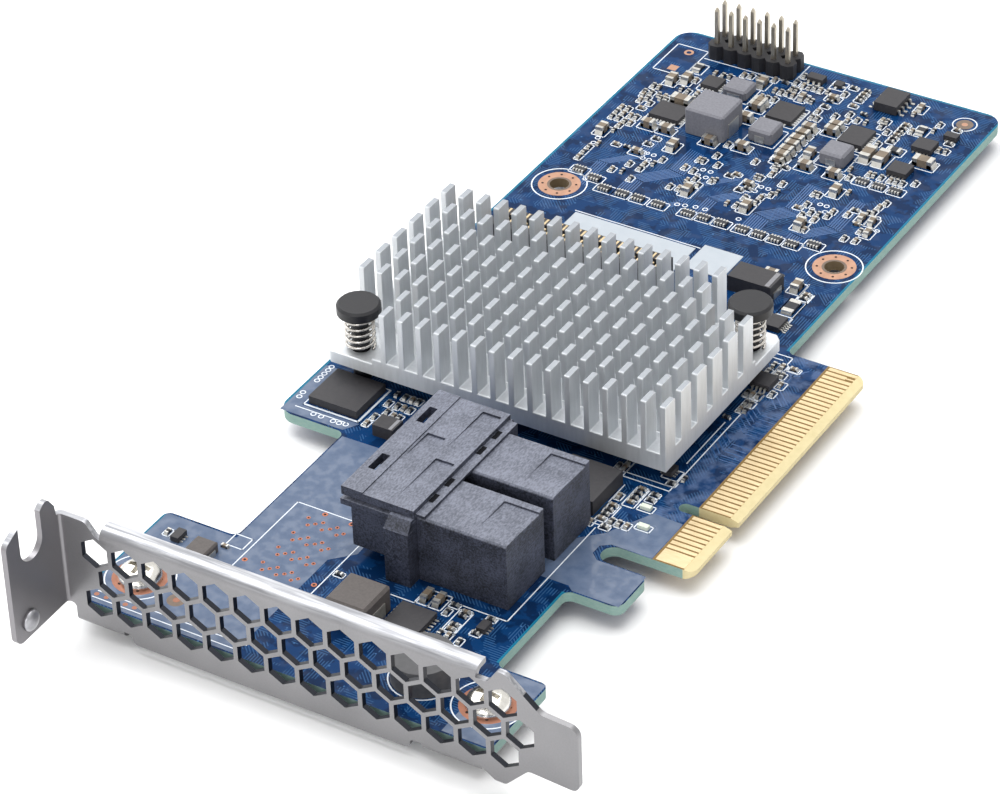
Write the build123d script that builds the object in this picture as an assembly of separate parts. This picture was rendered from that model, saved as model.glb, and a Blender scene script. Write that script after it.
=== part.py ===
from build123d import *
import math
import os

os.makedirs("parts", exist_ok=True)

# A low-profile storage controller card, lying component side up.
# X runs across the card and is 0 at the outer end of the gold contacts.
# Y runs from the bracket to the far end and is 0 in the middle of the key notch.
# Z is 0 on the component side of the board. Sizes are in millimetres.

# Board outline
board_thickness = 1.57
left_edge = -70.0
right_edge = -12.93
far_edge = 110.9
near_edge = -56.6
far_corner_radius = 3.0
corner_radius = 1.2
tongue_near = -12.1
tongue_far = 39.1
tongue_corner_radius = 1.5
bevel_reach = 1.3
bevel_rise = 0.42
key_notch_width = 1.9
key_notch_depth = 8.7
hook_slot_width = 3.64
hook_width = 7.81
hook_edge = -4.72
hook_corner_radius = 1.5
near_tab_edge = -4.8
near_tab_width = 14.87
left_step_edge = -58.4
left_step_far = -7.9
left_step_near = -35.07
left_step_big_radius = 2.8

# Gold contacts
finger_width = 0.7
finger_pitch = 1.0
finger_inner = -5.8
finger_short_end = -2.6
finger_height = 0.05
fingers_before_key = 11
fingers_after_key = 38
first_finger_from_key = 1.5
short_top_fingers = (17, 31, 48)
short_under_fingers = (1,)
joined_fingers = 3

# Board holes
card_hole_radius = 1.5
card_hole_first_x = 5.6
card_hole_spacing = 47.25
card_holes_from_far = 49.0
bracket_hole_radius = 1.6
bracket_hole_from_near = 7.7
bracket_hole_left_x = -64.75
bracket_hole_right_x = -9.7
hole_sides = 24

# Bracket
sheet = 0.86
bracket_face = -58.53
bracket_right = 9.6
ear_inner_face = -69.7
ear_depth = 11.43
ear_bend_radius = 0.5
bracket_bottom = -2.75
bracket_top_left = 15.5
ear_low = 0.8
ear_slot_width = 4.8
ear_slot_from_face = 6.22
ear_slot_bottom = 12.15
ear_slot_round = 2.38
dimple_radius = 1.45
dimple_depth = 0.35
dimple_y_from_face = 8.3
dimple_z = 3.3
flange_left = -63.4
flange_right = -5.3
flange_bend_start = 13.25
flange_bend_radius = 1.5
flange_reach = 2.65
foot_bend_radius = 1.2
foot_beyond_hole = 3.77
foot_left = (-68.4, -60.8)
foot_right = (-13.96, -5.2)
foot_corner_radius = 2.2
vent_flats = 4.15
vent_pitch = 4.85
vent_row_spacing = 4.12
vent_first_x = -64.4
vent_shift_x = 2.4
vent_low_z = 2.4
vents_in_row = 14
vent_rows = 3

# Bracket screws
screw_radius = 1.45
screw_clearance = 0.07
screw_head_radius = 3.1
screw_head_height = 2.0
screw_drive_width = 0.75
screw_drive_span = 3.4
screw_drive_depth = 1.2
screw_stick_out = 0.5
round_sides = 24

# Pin-fin heatsink
sink_left = -68.0
sink_right = -12.1
sink_near = 2.2
sink_far = 36.2
sink_bottom = 3.0
sink_base = 2.9
sink_height = 11.0
sink_cut_corner = 0.9
sink_corner_base = 2.0
fin_inset_left = 0.5
fin_count = 19
fin_thickness = 0.9
fin_rows = 8
fin_length = 2.78
fins_left_out_across = 3
fins_left_out_along = 2

# Push pins and springs
left_pin_inset = (4.3, 2.95)
right_pin_inset = (2.95, 4.2)
pin_head_radius = 3.25
pin_head_edge = 0.35
pin_head_thickness = 1.6
pin_head_top = 12.7
pin_shaft_radius = 1.3
pin_hole_clearance = 0.15
pin_barb_reach = 0.4
pin_tip_length = 2.4
pin_tip_radius = 0.9
pin_split = 0.6
spring_wire_radius = 0.22
spring_radius = 2.05
spring_turns = 5.5
spring_chords_in_turn = 12

# Controller chip under the heatsink
chip_side = 27.0
chip_substrate = 1.3
chip_lid_side = 21.0
pad_thickness = 0.3

# Dual right-angle storage connector, mouths towards -X
port_front = -42.95
port_back = -31.46
port_near = -31.6
port_far = -6.55
port_roof = 2.0
port_floor = 0.6
port_plate_thickness = 1.4
port_rim_length = 3.45
port_rim_step = 0.2
port_lip_height = 0.95
port_lip_gap = 0.65
port_lip_overhang = 0.15
port_body_inset_x = 1.1
port_body_inset_y = 0.5
port_leg_length = 3.9
port_leg_reach = 1.7
port_leg_height = 8.8
port_pitch = 12.2
port_first_y = -26.2
mouth_width = 8.8
mouth_height = 7.3
mouth_depth = 8.2
mouth_floor = 2.7
tongue_bar_length = 4.3
tongue_bar_width = 7.9
tongue_bar_height = 2.4
tongue_bar_gap = 1.3
card_slot_height = 1.1
card_slot_width = 7.1
card_slot_depth = 3.6
contact_count = 9
contact_pitch = 0.75
contact_width = 0.3
contact_thickness = 0.12
latch_window_length = 1.25
latch_window_width = 3.7
latch_window_setback = 1.0
latch_window_shift = 1.6
pocket_depth = 0.35
rear_block_length = 14.0
rear_block_width = 9.75
rear_block_height = 10.65
rear_block_bevel = 0.3
rear_pocket_length = 5.4
rear_pocket_end = 1.1
rear_pocket_reach = 6.3
back_ledge_length = 1.4
back_ledge_height = 0.45
back_slot_width = 1.7
back_slot_height = 0.4
back_slot_depth = 0.6

# Pin header
header_left = -62.45
header_far_from_edge = 1.05
header_pitch = 2.54
header_columns = 6
header_height = 2.54
header_body_width = 5.08
header_pin_width = 0.64
header_pin_top = 9.0
header_pin_tail = 3.0
header_notch = 0.95

# Board-to-board connector behind the heatsink
stack_left = -64.5
stack_right = -35.7
stack_far = 46.3
stack_width = 5.0
stack_height = 5.0
stack_groove_width = 1.6
stack_groove_depth = 2.6

# Buzzer near the bracket
buzzer_place = (-20.0, -48.3)
buzzer_radius = 4.4
buzzer_height = 4.0
buzzer_vent_radius = 0.8


def rounded_face(corners):
    """Flat face through (x, y, radius) corners, each with its own fillet."""
    places = [Vector(x, y) for x, y, radius in corners]
    turns = []
    for number, (x, y, radius) in enumerate(corners):
        here = places[number]
        if radius == 0:
            turns.append((here, here, here, 0))
            continue
        back = (places[number - 1] - here).normalized()
        ahead = (places[(number + 1) % len(places)] - here).normalized()
        half_turn = math.radians(back.get_angle(ahead)) / 2
        setback = radius / math.tan(half_turn)
        middle = here + (back + ahead).normalized() * (radius / math.sin(half_turn) - radius)
        turns.append((here + back * setback, middle, here + ahead * setback, radius))
    edges = []
    for number, (start, middle, end, radius) in enumerate(turns):
        next_start = turns[(number + 1) % len(turns)][0]
        if radius > 0:
            edges.append(ThreePointArc(start, middle, end))
        if (next_start - end).length > 0.001:
            edges.append(Line(end, next_start))
    return make_face(edges)


def plate_xy(face, z0, z1):
    """Face drawn in XY, made solid from z0 to z1."""
    return Pos(0, 0, z0) * extrude(face, amount=z1 - z0, dir=(0, 0, 1))


def plate_xz(face, y0, y1):
    """Face drawn in XZ, made solid from y0 to y1."""
    return Pos(0, y0, 0) * extrude(Plane.XZ * face, amount=y1 - y0, dir=(0, 1, 0))


def plate_yz(face, x0, x1):
    """Face drawn in YZ, made solid from x0 to x1."""
    return Pos(x0, 0, 0) * extrude(Plane.YZ * face, amount=x1 - x0, dir=(1, 0, 0))


def block(x0, x1, y0, y1, z0, z1):
    """Box between two values on each axis."""
    return Pos((x0 + x1) / 2, (y0 + y1) / 2, (z0 + z1) / 2) * Box(x1 - x0, y1 - y0, z1 - z0)


def post(x, y, radius, z0, z1):
    """Upright cylinder from z0 to z1."""
    return Pos(x, y, (z0 + z1) / 2) * Cylinder(radius, z1 - z0)


def flat_sided(x, y, radius, z0, z1, sides):
    """Upright prism with many flat sides, for a small round form that repeats."""
    return plate_xy(Pos(x, y) * RegularPolygon(radius, sides), z0, z1)


def tapered(radius_low, radius_high, z0, z1):
    """Many-sided cone frustum on the Z axis."""
    low = Pos(0, 0, z0) * RegularPolygon(radius_low, round_sides)
    high = Pos(0, 0, z1) * RegularPolygon(radius_high, round_sides)
    return loft([low, high], ruled=True)


def keep(name, *shapes):
    """Write all the solids of one node."""
    solids = [solid for shape in shapes for solid in shape.solids()]
    whole = Compound(children=solids) if len(solids) > 1 else solids[0]
    export_step(whole, f"parts/{name}.step")


def from_far_left(dx, dy):
    """Point on the board measured from its far left corner."""
    return (left_edge + dx, far_edge - dy)


def from_near_left(dx, dy):
    """Point on the board measured from its near left corner."""
    return (left_edge + dx, near_edge + dy)


# Places that several pieces share
board_under = -board_thickness
card_holes = [
    from_far_left(card_hole_first_x, card_holes_from_far),
    from_far_left(card_hole_first_x + card_hole_spacing, card_holes_from_far),
]
bracket_hole_y = near_edge + bracket_hole_from_near
bracket_holes = [(bracket_hole_left_x, bracket_hole_y), (bracket_hole_right_x, bracket_hole_y)]
push_pin_places = [
    (sink_left + left_pin_inset[0], sink_near + left_pin_inset[1]),
    (sink_right - right_pin_inset[0], sink_far - right_pin_inset[1]),
]
pin_hole_radius = pin_shaft_radius + pin_hole_clearance
header_body_far = far_edge - header_far_from_edge
header_pins = [
    (header_left + header_pitch * (column + 0.5), header_body_far - header_pitch * (row + 0.5))
    for column in range(header_columns)
    for row in range(2)
]
header_hole_radius = header_pin_width * 0.8
header_hole_sides = 8
port_centres = [port_first_y, port_first_y + port_pitch]
port_top = mouth_floor + mouth_height + port_roof
foot_reach = bracket_hole_y - bracket_face + foot_beyond_hole


# Circuit board: one laminate with the contact tongue, key notch, hook and bracket recess
def make_circuit_board():
    """Outlined laminate with its drilled holes and bevelled contact edge."""
    slot_far = tongue_near
    slot_near = slot_far - hook_slot_width
    hook_near = slot_near - hook_width
    tab_far = near_edge + near_tab_width
    slot_round = hook_slot_width / 2 - 0.01
    notch_half = key_notch_width / 2
    notch_round = notch_half - 0.01
    outline = rounded_face([
        (left_edge, near_edge, corner_radius),
        (near_tab_edge, near_edge, corner_radius),
        (near_tab_edge, tab_far, corner_radius),
        (right_edge, tab_far, corner_radius),
        (right_edge, hook_near, corner_radius),
        (hook_edge, hook_near, hook_corner_radius),
        (hook_edge, slot_near, hook_corner_radius),
        (right_edge, slot_near, slot_round),
        (right_edge, slot_far, slot_round),
        (0, slot_far, tongue_corner_radius),
        (0, -notch_half, 0),
        (-key_notch_depth, -notch_half, notch_round),
        (-key_notch_depth, notch_half, notch_round),
        (0, notch_half, 0),
        (0, tongue_far, tongue_corner_radius),
        (right_edge, tongue_far, corner_radius),
        (right_edge, far_edge, far_corner_radius),
        (left_edge, far_edge, far_corner_radius),
        (left_edge, left_step_far, left_step_big_radius),
        (left_step_edge, left_step_far, corner_radius),
        (left_step_edge, left_step_near, corner_radius),
        (left_edge, left_step_near, corner_radius),
    ])
    board = plate_xy(outline, board_under, 0)
    top_wedge = make_face(Polyline((-bevel_reach, 0), (0, 0), (0, -bevel_rise), close=True))
    low_wedge = make_face(Polyline(
        (-bevel_reach, board_under), (0, board_under), (0, board_under + bevel_rise), close=True))
    for wedge in (top_wedge, low_wedge):
        board -= plate_xz(wedge, tongue_near, tongue_far)
    for x, y in card_holes:
        board -= post(x, y, card_hole_radius, board_under, 0)
    for x, y in bracket_holes:
        board -= flat_sided(x, y, bracket_hole_radius, board_under, 0, hole_sides)
    for x, y in push_pin_places:
        board -= flat_sided(x, y, pin_hole_radius, board_under, 0, hole_sides)
    for x, y in header_pins:
        board -= flat_sided(x, y, header_hole_radius, board_under, 0, header_hole_sides)
    return board


keep("circuit_board", make_circuit_board())


# Gold contacts: a row on each side of the tongue, some shorter so that they mate last
def make_fingers(z0, z1, short_ones, joined):
    """One side's contacts, the first few joined into one wide pad if asked."""
    fingers = []
    last = fingers_before_key + fingers_after_key
    for number in range(1, last + 1):
        if number <= fingers_before_key:
            y = -first_finger_from_key - (fingers_before_key - number) * finger_pitch
        else:
            y = first_finger_from_key + (number - fingers_before_key - 1) * finger_pitch
        outer = finger_short_end if number in short_ones else -bevel_reach
        half = finger_width / 2
        if joined and number == 1:
            far = y + (joined_fingers - 1) * finger_pitch + half
            fingers.append(block(finger_inner, outer, y - half, far, z0, z1))
        elif not joined or number > joined_fingers:
            fingers.append(block(finger_inner, outer, y - half, y + half, z0, z1))
    return fingers


keep("edge_contacts_top", *make_fingers(0, finger_height, short_top_fingers, True))
keep("edge_contacts_underside",
     *make_fingers(board_under - finger_height, board_under, short_under_fingers, False))


# Bracket: one folded steel sheet with an ear, a top flange, two feet and hexagonal vents
def fold_profile(edge_z, outer_radius, reach, up):
    """Section in YZ of a strip that leaves the plate's edge and turns away to +Y."""
    inner_radius = outer_radius - sheet
    sign = 1 if up else -1
    centre_y = bracket_face + outer_radius
    diagonal = math.sqrt(0.5)
    outer_arc = ThreePointArc(
        (bracket_face, edge_z),
        (centre_y - outer_radius * diagonal, edge_z + sign * outer_radius * diagonal),
        (centre_y, edge_z + sign * outer_radius))
    inner_arc = ThreePointArc(
        (bracket_face + sheet, edge_z),
        (centre_y - inner_radius * diagonal, edge_z + sign * inner_radius * diagonal),
        (centre_y, edge_z + sign * inner_radius))
    tip = bracket_face + reach
    strip = Polyline(
        (centre_y, edge_z + sign * outer_radius),
        (tip, edge_z + sign * outer_radius),
        (tip, edge_z + sign * inner_radius),
        (centre_y, edge_z + sign * inner_radius))
    root = Line((bracket_face, edge_z), (bracket_face + sheet, edge_z))
    return make_face([outer_arc, *strip.edges(), inner_arc, root])


def make_bracket():
    """Folded sheet: plate, ear, bend, flange and feet fused, then pierced."""
    bend_x = ear_inner_face + ear_bend_radius
    bend_y = bracket_face - ear_bend_radius
    foot_edge = -board_thickness - sheet + foot_bend_radius
    plate_outline = rounded_face([
        (bend_x, ear_low, 0),
        (foot_left[0], ear_low, 0.7),
        (foot_left[0], foot_edge, 0),
        (foot_left[1], foot_edge, 0),
        (foot_left[1] + 1.4, foot_edge, 0.5),
        (foot_left[1] + 1.4, bracket_bottom, 0.9),
        (foot_right[0] - 1.8, bracket_bottom, 0.9),
        (foot_right[0] - 1.8, foot_edge, 0.5),
        (foot_right[0], foot_edge, 0),
        (foot_right[1], foot_edge, 0),
        (-2.9, bracket_bottom, 0.8),
        (-1.3, bracket_bottom, 0.8),
        (2.1, 0.8, 1.0),
        (bracket_right, 0.25, 1.2),
        (bracket_right, 10.6, 1.6),
        (4.1, 10.95, 2.0),
        (-1.0, bracket_top_left, 1.0),
        (-2.1, bracket_top_left, 0.5),
        (-3.6, flange_bend_start, 0.6),
        (flange_right, flange_bend_start, 0),
        (flange_left, flange_bend_start, 0),
        (-64.1, flange_bend_start + 0.3, 0),
        (-65.6, bracket_top_left, 1.0),
        (bend_x, bracket_top_left, 0),
    ])
    ear_tip = bracket_face - ear_depth
    slot_middle = bracket_face - ear_slot_from_face
    slot_near = slot_middle - ear_slot_width / 2
    slot_far = slot_middle + ear_slot_width / 2
    ear_outline = rounded_face([
        (bend_y, ear_low, 0),
        (ear_tip, ear_low - 0.2, 1.5),
        (ear_tip, 17.3, 1.2),
        (slot_near, 18.6, 0),
        (slot_near, ear_slot_bottom, ear_slot_round),
        (slot_far, ear_slot_bottom, ear_slot_round),
        (slot_far, 18.3, 0),
        (-60.8, 19.4, 1.0),
        (-59.3, 17.2, 0),
        (bend_y, bracket_top_left, 0),
    ])
    bend_middle = math.sqrt(0.5)
    bend_outer = ear_bend_radius + sheet
    bend_section = make_face([
        ThreePointArc(
            (bend_x, bracket_face),
            (bend_x - ear_bend_radius * bend_middle, bend_y + ear_bend_radius * bend_middle),
            (ear_inner_face, bend_y)),
        Line((ear_inner_face, bend_y), (ear_inner_face - sheet, bend_y)),
        ThreePointArc(
            (ear_inner_face - sheet, bend_y),
            (bend_x - bend_outer * bend_middle, bend_y + bend_outer * bend_middle),
            (bend_x, bracket_face + sheet)),
        Line((bend_x, bracket_face + sheet), (bend_x, bracket_face)),
    ])
    plate = plate_xz(plate_outline, bracket_face, bracket_face + sheet)
    hexagon = RegularPolygon(vent_flats / 2, 6, major_radius=False, rotation=30)
    for row in range(vent_rows):
        first_x = vent_first_x + (vent_shift_x if row % 2 else 0)
        z = vent_low_z + row * vent_row_spacing
        for column in range(vents_in_row):
            vent = Pos(first_x + column * vent_pitch, z) * hexagon
            plate -= plate_xz(vent, bracket_face, bracket_face + sheet)
    ear = plate_yz(ear_outline, ear_inner_face - sheet, ear_inner_face)
    dimple_y = bracket_face - dimple_y_from_face
    dimple_face = Pos(dimple_y, dimple_z) * RegularPolygon(dimple_radius, round_sides)
    boss = plate_yz(dimple_face, ear_inner_face, ear_inner_face + dimple_depth)
    dimple = plate_yz(dimple_face, ear_inner_face - sheet, ear_inner_face - sheet + dimple_depth)
    ear = ear + boss - dimple
    bend = plate_xy(bend_section, ear_low, bracket_top_left)
    flange = plate_yz(
        fold_profile(flange_bend_start, flange_bend_radius, flange_reach, True), flange_left, flange_right)
    whole = plate + bend + ear + flange
    for (x0, x1), (hole_x, hole_y) in zip((foot_left, foot_right), bracket_holes):
        foot = plate_yz(fold_profile(foot_edge, foot_bend_radius, foot_reach, False), x0, x1)
        foot = fillet(
            foot.edges().filter_by(Axis.Z).group_by(Axis.Y)[-1], foot_corner_radius)
        foot -= flat_sided(
            hole_x, hole_y, screw_radius + screw_clearance, board_under - sheet, board_under, hole_sides)
        whole += foot
    return whole


keep("bracket", make_bracket())


# Bracket screws: domed heads on the board, threaded into the bracket's feet
def make_bracket_screw():
    """Domed cross-slot screw with its head's underside at z = 0."""
    radii = [1.0, 1.0, 0.9, 0.64, 0.3]
    heights = [0.0, 0.25, 0.6, 0.87, 1.0]
    low = board_under - sheet - screw_stick_out
    screw = flat_sided(0, 0, screw_radius, low, 0, round_sides)
    for band in range(len(radii) - 1):
        screw += tapered(
            radii[band] * screw_head_radius, radii[band + 1] * screw_head_radius,
            heights[band] * screw_head_height, heights[band + 1] * screw_head_height)
    half_span = screw_drive_span / 2
    half_width = screw_drive_width / 2
    floor = screw_head_height - screw_drive_depth
    above = 2 * screw_head_height
    screw -= block(-half_span, half_span, -half_width, half_width, floor, above)
    screw -= block(-half_width, half_width, -half_span, half_span, floor, above)
    return screw


screw = make_bracket_screw()
keep("bracket_screws", *[Pos(x, y, 0) * screw for x, y in bracket_holes])


# Heatsink: finned base cut across into rows of pins, two corners cleared for the push pins
def make_heatsink():
    """Comb section run along Y, crossed by slots, with two milled corners."""
    top = sink_bottom + sink_height
    floor = sink_bottom + sink_base
    cut = sink_cut_corner
    base_outline = Polyline(
        (sink_left + cut, sink_near), (sink_right, sink_near), (sink_right, sink_far - cut),
        (sink_right - cut, sink_far), (sink_left, sink_far), (sink_left, sink_near + cut), close=True)
    sink = plate_xy(make_face(base_outline), sink_bottom, floor)
    pitch_x = (sink_right - sink_left - fin_inset_left - fin_thickness) / (fin_count - 1)
    pitch_y = (sink_far - sink_near - fin_length) / (fin_rows - 1)
    pins = []
    for column in range(fin_count):
        for row in range(fin_rows):
            near_corner = column < fins_left_out_across and row < fins_left_out_along
            far_corner = (column >= fin_count - fins_left_out_across
                          and row >= fin_rows - fins_left_out_along)
            if near_corner or far_corner:
                continue
            x = sink_left + fin_inset_left + column * pitch_x
            y = sink_near + row * pitch_y
            pins.append(block(x, x + fin_thickness, y, y + fin_length, floor, top))
    sink = sink.fuse(*pins)
    step = sink_bottom + sink_corner_base
    across = (fins_left_out_across - 1) * pitch_x + fin_thickness + 1.0
    along = (fins_left_out_along - 1) * pitch_y + fin_length + 0.8
    sink -= block(sink_left, sink_left + across, sink_near, sink_near + along, step, floor)
    sink -= block(sink_right - across, sink_right, sink_far - along, sink_far, step, floor)
    for x, y in push_pin_places:
        sink -= flat_sided(x, y, pin_hole_radius, sink_bottom, step, hole_sides)
    return sink


keep("heatsink", make_heatsink())


# Controller chip with its lid, and the soft pad that joins it to the heatsink
sink_middle = ((sink_left + sink_right) / 2, (sink_near + sink_far) / 2)
lid_top = sink_bottom - pad_thickness


def square_block(centre, side, z0, z1):
    """Square slab on a centre."""
    x, y = centre
    return block(x - side / 2, x + side / 2, y - side / 2, y + side / 2, z0, z1)


controller_chip = (square_block(sink_middle, chip_side, 0, chip_substrate)
                   + square_block(sink_middle, chip_lid_side, chip_substrate, lid_top))
keep("controller_chip", controller_chip)
keep("thermal_pad", square_block(sink_middle, chip_lid_side - 1.0, lid_top, sink_bottom))


# Push pins: headed plastic pins with a split barbed tip under the board, and their springs
def make_push_pin():
    """Head, shaft and barb of the pin, then the split through its tip."""
    head_low = pin_head_top - pin_head_thickness
    barb_z = board_under - 0.1
    barb_low = barb_z - 0.4
    barb_radius = pin_hole_radius + pin_barb_reach
    edge_z = pin_head_top - pin_head_edge
    pin = flat_sided(0, 0, pin_head_radius, head_low, edge_z, round_sides)
    pin += tapered(pin_head_radius, pin_head_radius - pin_head_edge, edge_z, pin_head_top)
    pin += flat_sided(0, 0, pin_shaft_radius, barb_z, head_low, round_sides)
    pin += flat_sided(0, 0, barb_radius, barb_low, barb_z, round_sides)
    pin += tapered(pin_tip_radius, barb_radius, barb_z - pin_tip_length, barb_low)
    reach = 2 * barb_radius
    pin -= block(-pin_split / 2, pin_split / 2, -reach, reach, barb_z - pin_tip_length, -0.3)
    return pin


def make_spring():
    """Wire coil, in short straight chords, between the heatsink's milled corner and the pin's head."""
    low = sink_bottom + sink_corner_base + spring_wire_radius
    high = pin_head_top - pin_head_thickness - spring_wire_radius
    chords = round(spring_turns * spring_chords_in_turn)
    step = 2 * math.pi / spring_chords_in_turn
    coil = Polyline(*[
        (spring_radius * math.cos(step * number), spring_radius * math.sin(step * number),
         low + (high - low) * number / chords)
        for number in range(chords + 1)])
    wire = Plane(origin=coil @ 0, z_dir=coil % 0) * RegularPolygon(spring_wire_radius, 6)
    return sweep(wire, path=coil, transition=Transition.RIGHT)


push_pin = make_push_pin()
spring = make_spring()
keep("push_pins", *[Pos(x, y, 0) * push_pin for x, y in push_pin_places])
keep("push_pin_springs", *[Pos(x, y, 0) * spring for x, y in push_pin_places])


# Storage connector: a shared mouth housing, two rear housings and the sockets' contacts
def fading_pocket(x0, x1, far, reach, top):
    """Shallow pocket in a top face, full depth at its far end and run out at its near end."""
    wedge = Polyline((far, top), (far, top - pocket_depth), (far - reach, top), close=True)
    return plate_yz(make_face(wedge), x0, x1)


def make_port_shell():
    """Moulded housing with its top plate and lip, two mouths, card tongues, windows and legs."""
    rim_back = port_front + port_rim_length
    plate_low = port_top - port_plate_thickness
    lip_high = plate_low - port_lip_gap
    lip_low = lip_high - port_lip_height
    body_near = port_near + port_body_inset_y
    body_far = port_far - port_body_inset_y
    body_low = mouth_floor - port_floor
    out = port_lip_overhang
    shell = block(port_front, port_back, port_near, port_far, plate_low, port_top)
    shell += block(port_front - out, port_back, port_near - out, port_far + out, lip_low, lip_high)
    shell += block(port_front + port_body_inset_x, port_back, body_near, body_far, body_low, plate_low)
    leg_front = port_back - port_leg_length
    leg_near = port_near - port_leg_reach
    leg_far = port_far + port_leg_reach
    shell += block(leg_front, port_back, body_near, body_far, 0, body_low)
    shell += block(leg_front, port_back, leg_near, body_near, 0, port_leg_height)
    shell += block(leg_front, port_back, body_far, leg_far, 0, port_leg_height)
    shell += block(port_back, port_back + back_ledge_length, body_near, body_far,
                   rear_block_height, rear_block_height + back_ledge_height)
    main_top = port_top - port_rim_step
    shell -= block(rim_back, port_back, port_near, port_far, main_top, port_top)
    mouth_back = port_front + mouth_depth
    for centre in port_centres:
        near = centre - mouth_width / 2
        far = centre + mouth_width / 2
        shell -= block(port_front - out, mouth_back, near, far, mouth_floor, mouth_floor + mouth_height)
        window_y = centre + latch_window_shift
        window_x = port_front + latch_window_setback
        shell -= block(window_x, window_x + latch_window_length, window_y - latch_window_width / 2,
                       window_y + latch_window_width / 2, mouth_floor + mouth_height, port_top)
        middle_z = mouth_floor + mouth_height / 2
        for side in (-1, 1):
            bar_z = middle_z + side * (tongue_bar_height + tongue_bar_gap) / 2
            bar = block(mouth_back - tongue_bar_length, mouth_back, centre - tongue_bar_width / 2,
                        centre + tongue_bar_width / 2, bar_z - tongue_bar_height / 2,
                        bar_z + tongue_bar_height / 2)
            bar -= block(mouth_back - tongue_bar_length, mouth_back - tongue_bar_length + card_slot_depth,
                         centre - card_slot_width / 2, centre + card_slot_width / 2,
                         bar_z - card_slot_height / 2, bar_z + card_slot_height / 2)
            shell += bar
        slot_low = rear_block_height + back_ledge_height
        for slot_y in (centre - 0.8, centre + 3.2):
            shell -= block(port_back - back_slot_depth, port_back, slot_y - back_slot_width / 2,
                           slot_y + back_slot_width / 2, slot_low, slot_low + back_slot_height)
        shell -= fading_pocket(port_back - 3.65, port_back - 0.7, centre + 6.2, 9.7, main_top)
    middle_y = sum(port_centres) / 2
    shell -= fading_pocket(rim_back + 0.35, rim_back + 3.2, middle_y + 4.5, 6.7, main_top)
    return shell


def make_rear_block(centre):
    """Rear housing of one socket, bevelled along its near top edge, with a pocket at its end."""
    near = centre - rear_block_width / 2
    far = centre + rear_block_width / 2
    end = port_back + rear_block_length
    section = Polyline(
        (near, 0), (far, 0), (far, rear_block_height), (near + rear_block_bevel, rear_block_height),
        (near, rear_block_height - rear_block_bevel), close=True)
    housing = plate_yz(make_face(section), port_back, end)
    return housing - fading_pocket(
        end - rear_pocket_length, end, far - rear_pocket_end, rear_pocket_reach, rear_block_height)


def make_port_contacts():
    """Spring contacts on both walls of every card slot."""
    contacts = []
    slot_front = port_front + mouth_depth - tongue_bar_length
    for centre in port_centres:
        for side in (-1, 1):
            bar_z = mouth_floor + mouth_height / 2 + side * (tongue_bar_height + tongue_bar_gap) / 2
            for number in range(contact_count):
                y = centre + (number - (contact_count - 1) / 2) * contact_pitch
                wall_z = bar_z + side * card_slot_height / 2
                inner_z = wall_z - side * contact_thickness
                contacts.append(block(
                    slot_front + 0.4, slot_front + card_slot_depth, y - contact_width / 2,
                    y + contact_width / 2, min(wall_z, inner_z), max(wall_z, inner_z)))
    return contacts


keep("storage_port_shell", make_port_shell())
keep("storage_port_rear_near", make_rear_block(port_centres[0]))
keep("storage_port_rear_far", make_rear_block(port_centres[1]))
keep("storage_port_contacts", *make_port_contacts())


# Pin header at the far end: notched strip with square pins through the board
def make_header_body():
    """Moulded strip, notched between its cells, with its square pin holes."""
    near = header_body_far - header_body_width
    right = header_left + header_columns * header_pitch
    body = block(header_left, right, near, header_body_far, 0, header_height)
    for column in range(header_columns + 1):
        x = header_left + column * header_pitch
        for y in (near, (near + header_body_far) / 2, header_body_far):
            body -= Pos(x, y, header_height / 2) * Rot(0, 0, 45) * Box(
                header_notch, header_notch, header_height)
    half = header_pin_width / 2
    for x, y in header_pins:
        body -= block(x - half, x + half, y - half, y + half, 0, header_height)
    return body


def make_header_pin():
    """Square pin, pointed a little at the top."""
    half = header_pin_width / 2
    low = -header_pin_tail
    shaft_top = header_pin_top - 0.6
    shaft = block(-half, half, -half, half, low, shaft_top)
    tip = extrude(Pos(0, 0, shaft_top) * Rectangle(header_pin_width, header_pin_width), amount=0.6, taper=20)
    return shaft + tip


header_pin = make_header_pin()
keep("pin_header_body", make_header_body())
keep("pin_header_pins", *[Pos(x, y, 0) * header_pin for x, y in header_pins])


# Board-to-board connector: long housing with a mating groove
def make_stack_body():
    """Housing with the long groove that the mating plug enters."""
    near = stack_far - stack_width
    middle = (near + stack_far) / 2
    body = block(stack_left, stack_right, near, stack_far, 0, stack_height)
    end_wall = 1.2
    body -= block(stack_left + end_wall, stack_right - end_wall, middle - stack_groove_width / 2,
                  middle + stack_groove_width / 2, stack_height - stack_groove_depth, stack_height)
    return body


keep("stacking_connector", make_stack_body())


# Buzzer: round can with a sound hole
def make_buzzer():
    """Low cylinder with its sound hole in the top."""
    x, y = buzzer_place
    can = post(x, y, buzzer_radius, 0, buzzer_height)
    return can - post(x, y, buzzer_vent_radius, buzzer_height - 0.6, buzzer_height)


keep("buzzer", make_buzzer())


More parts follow.
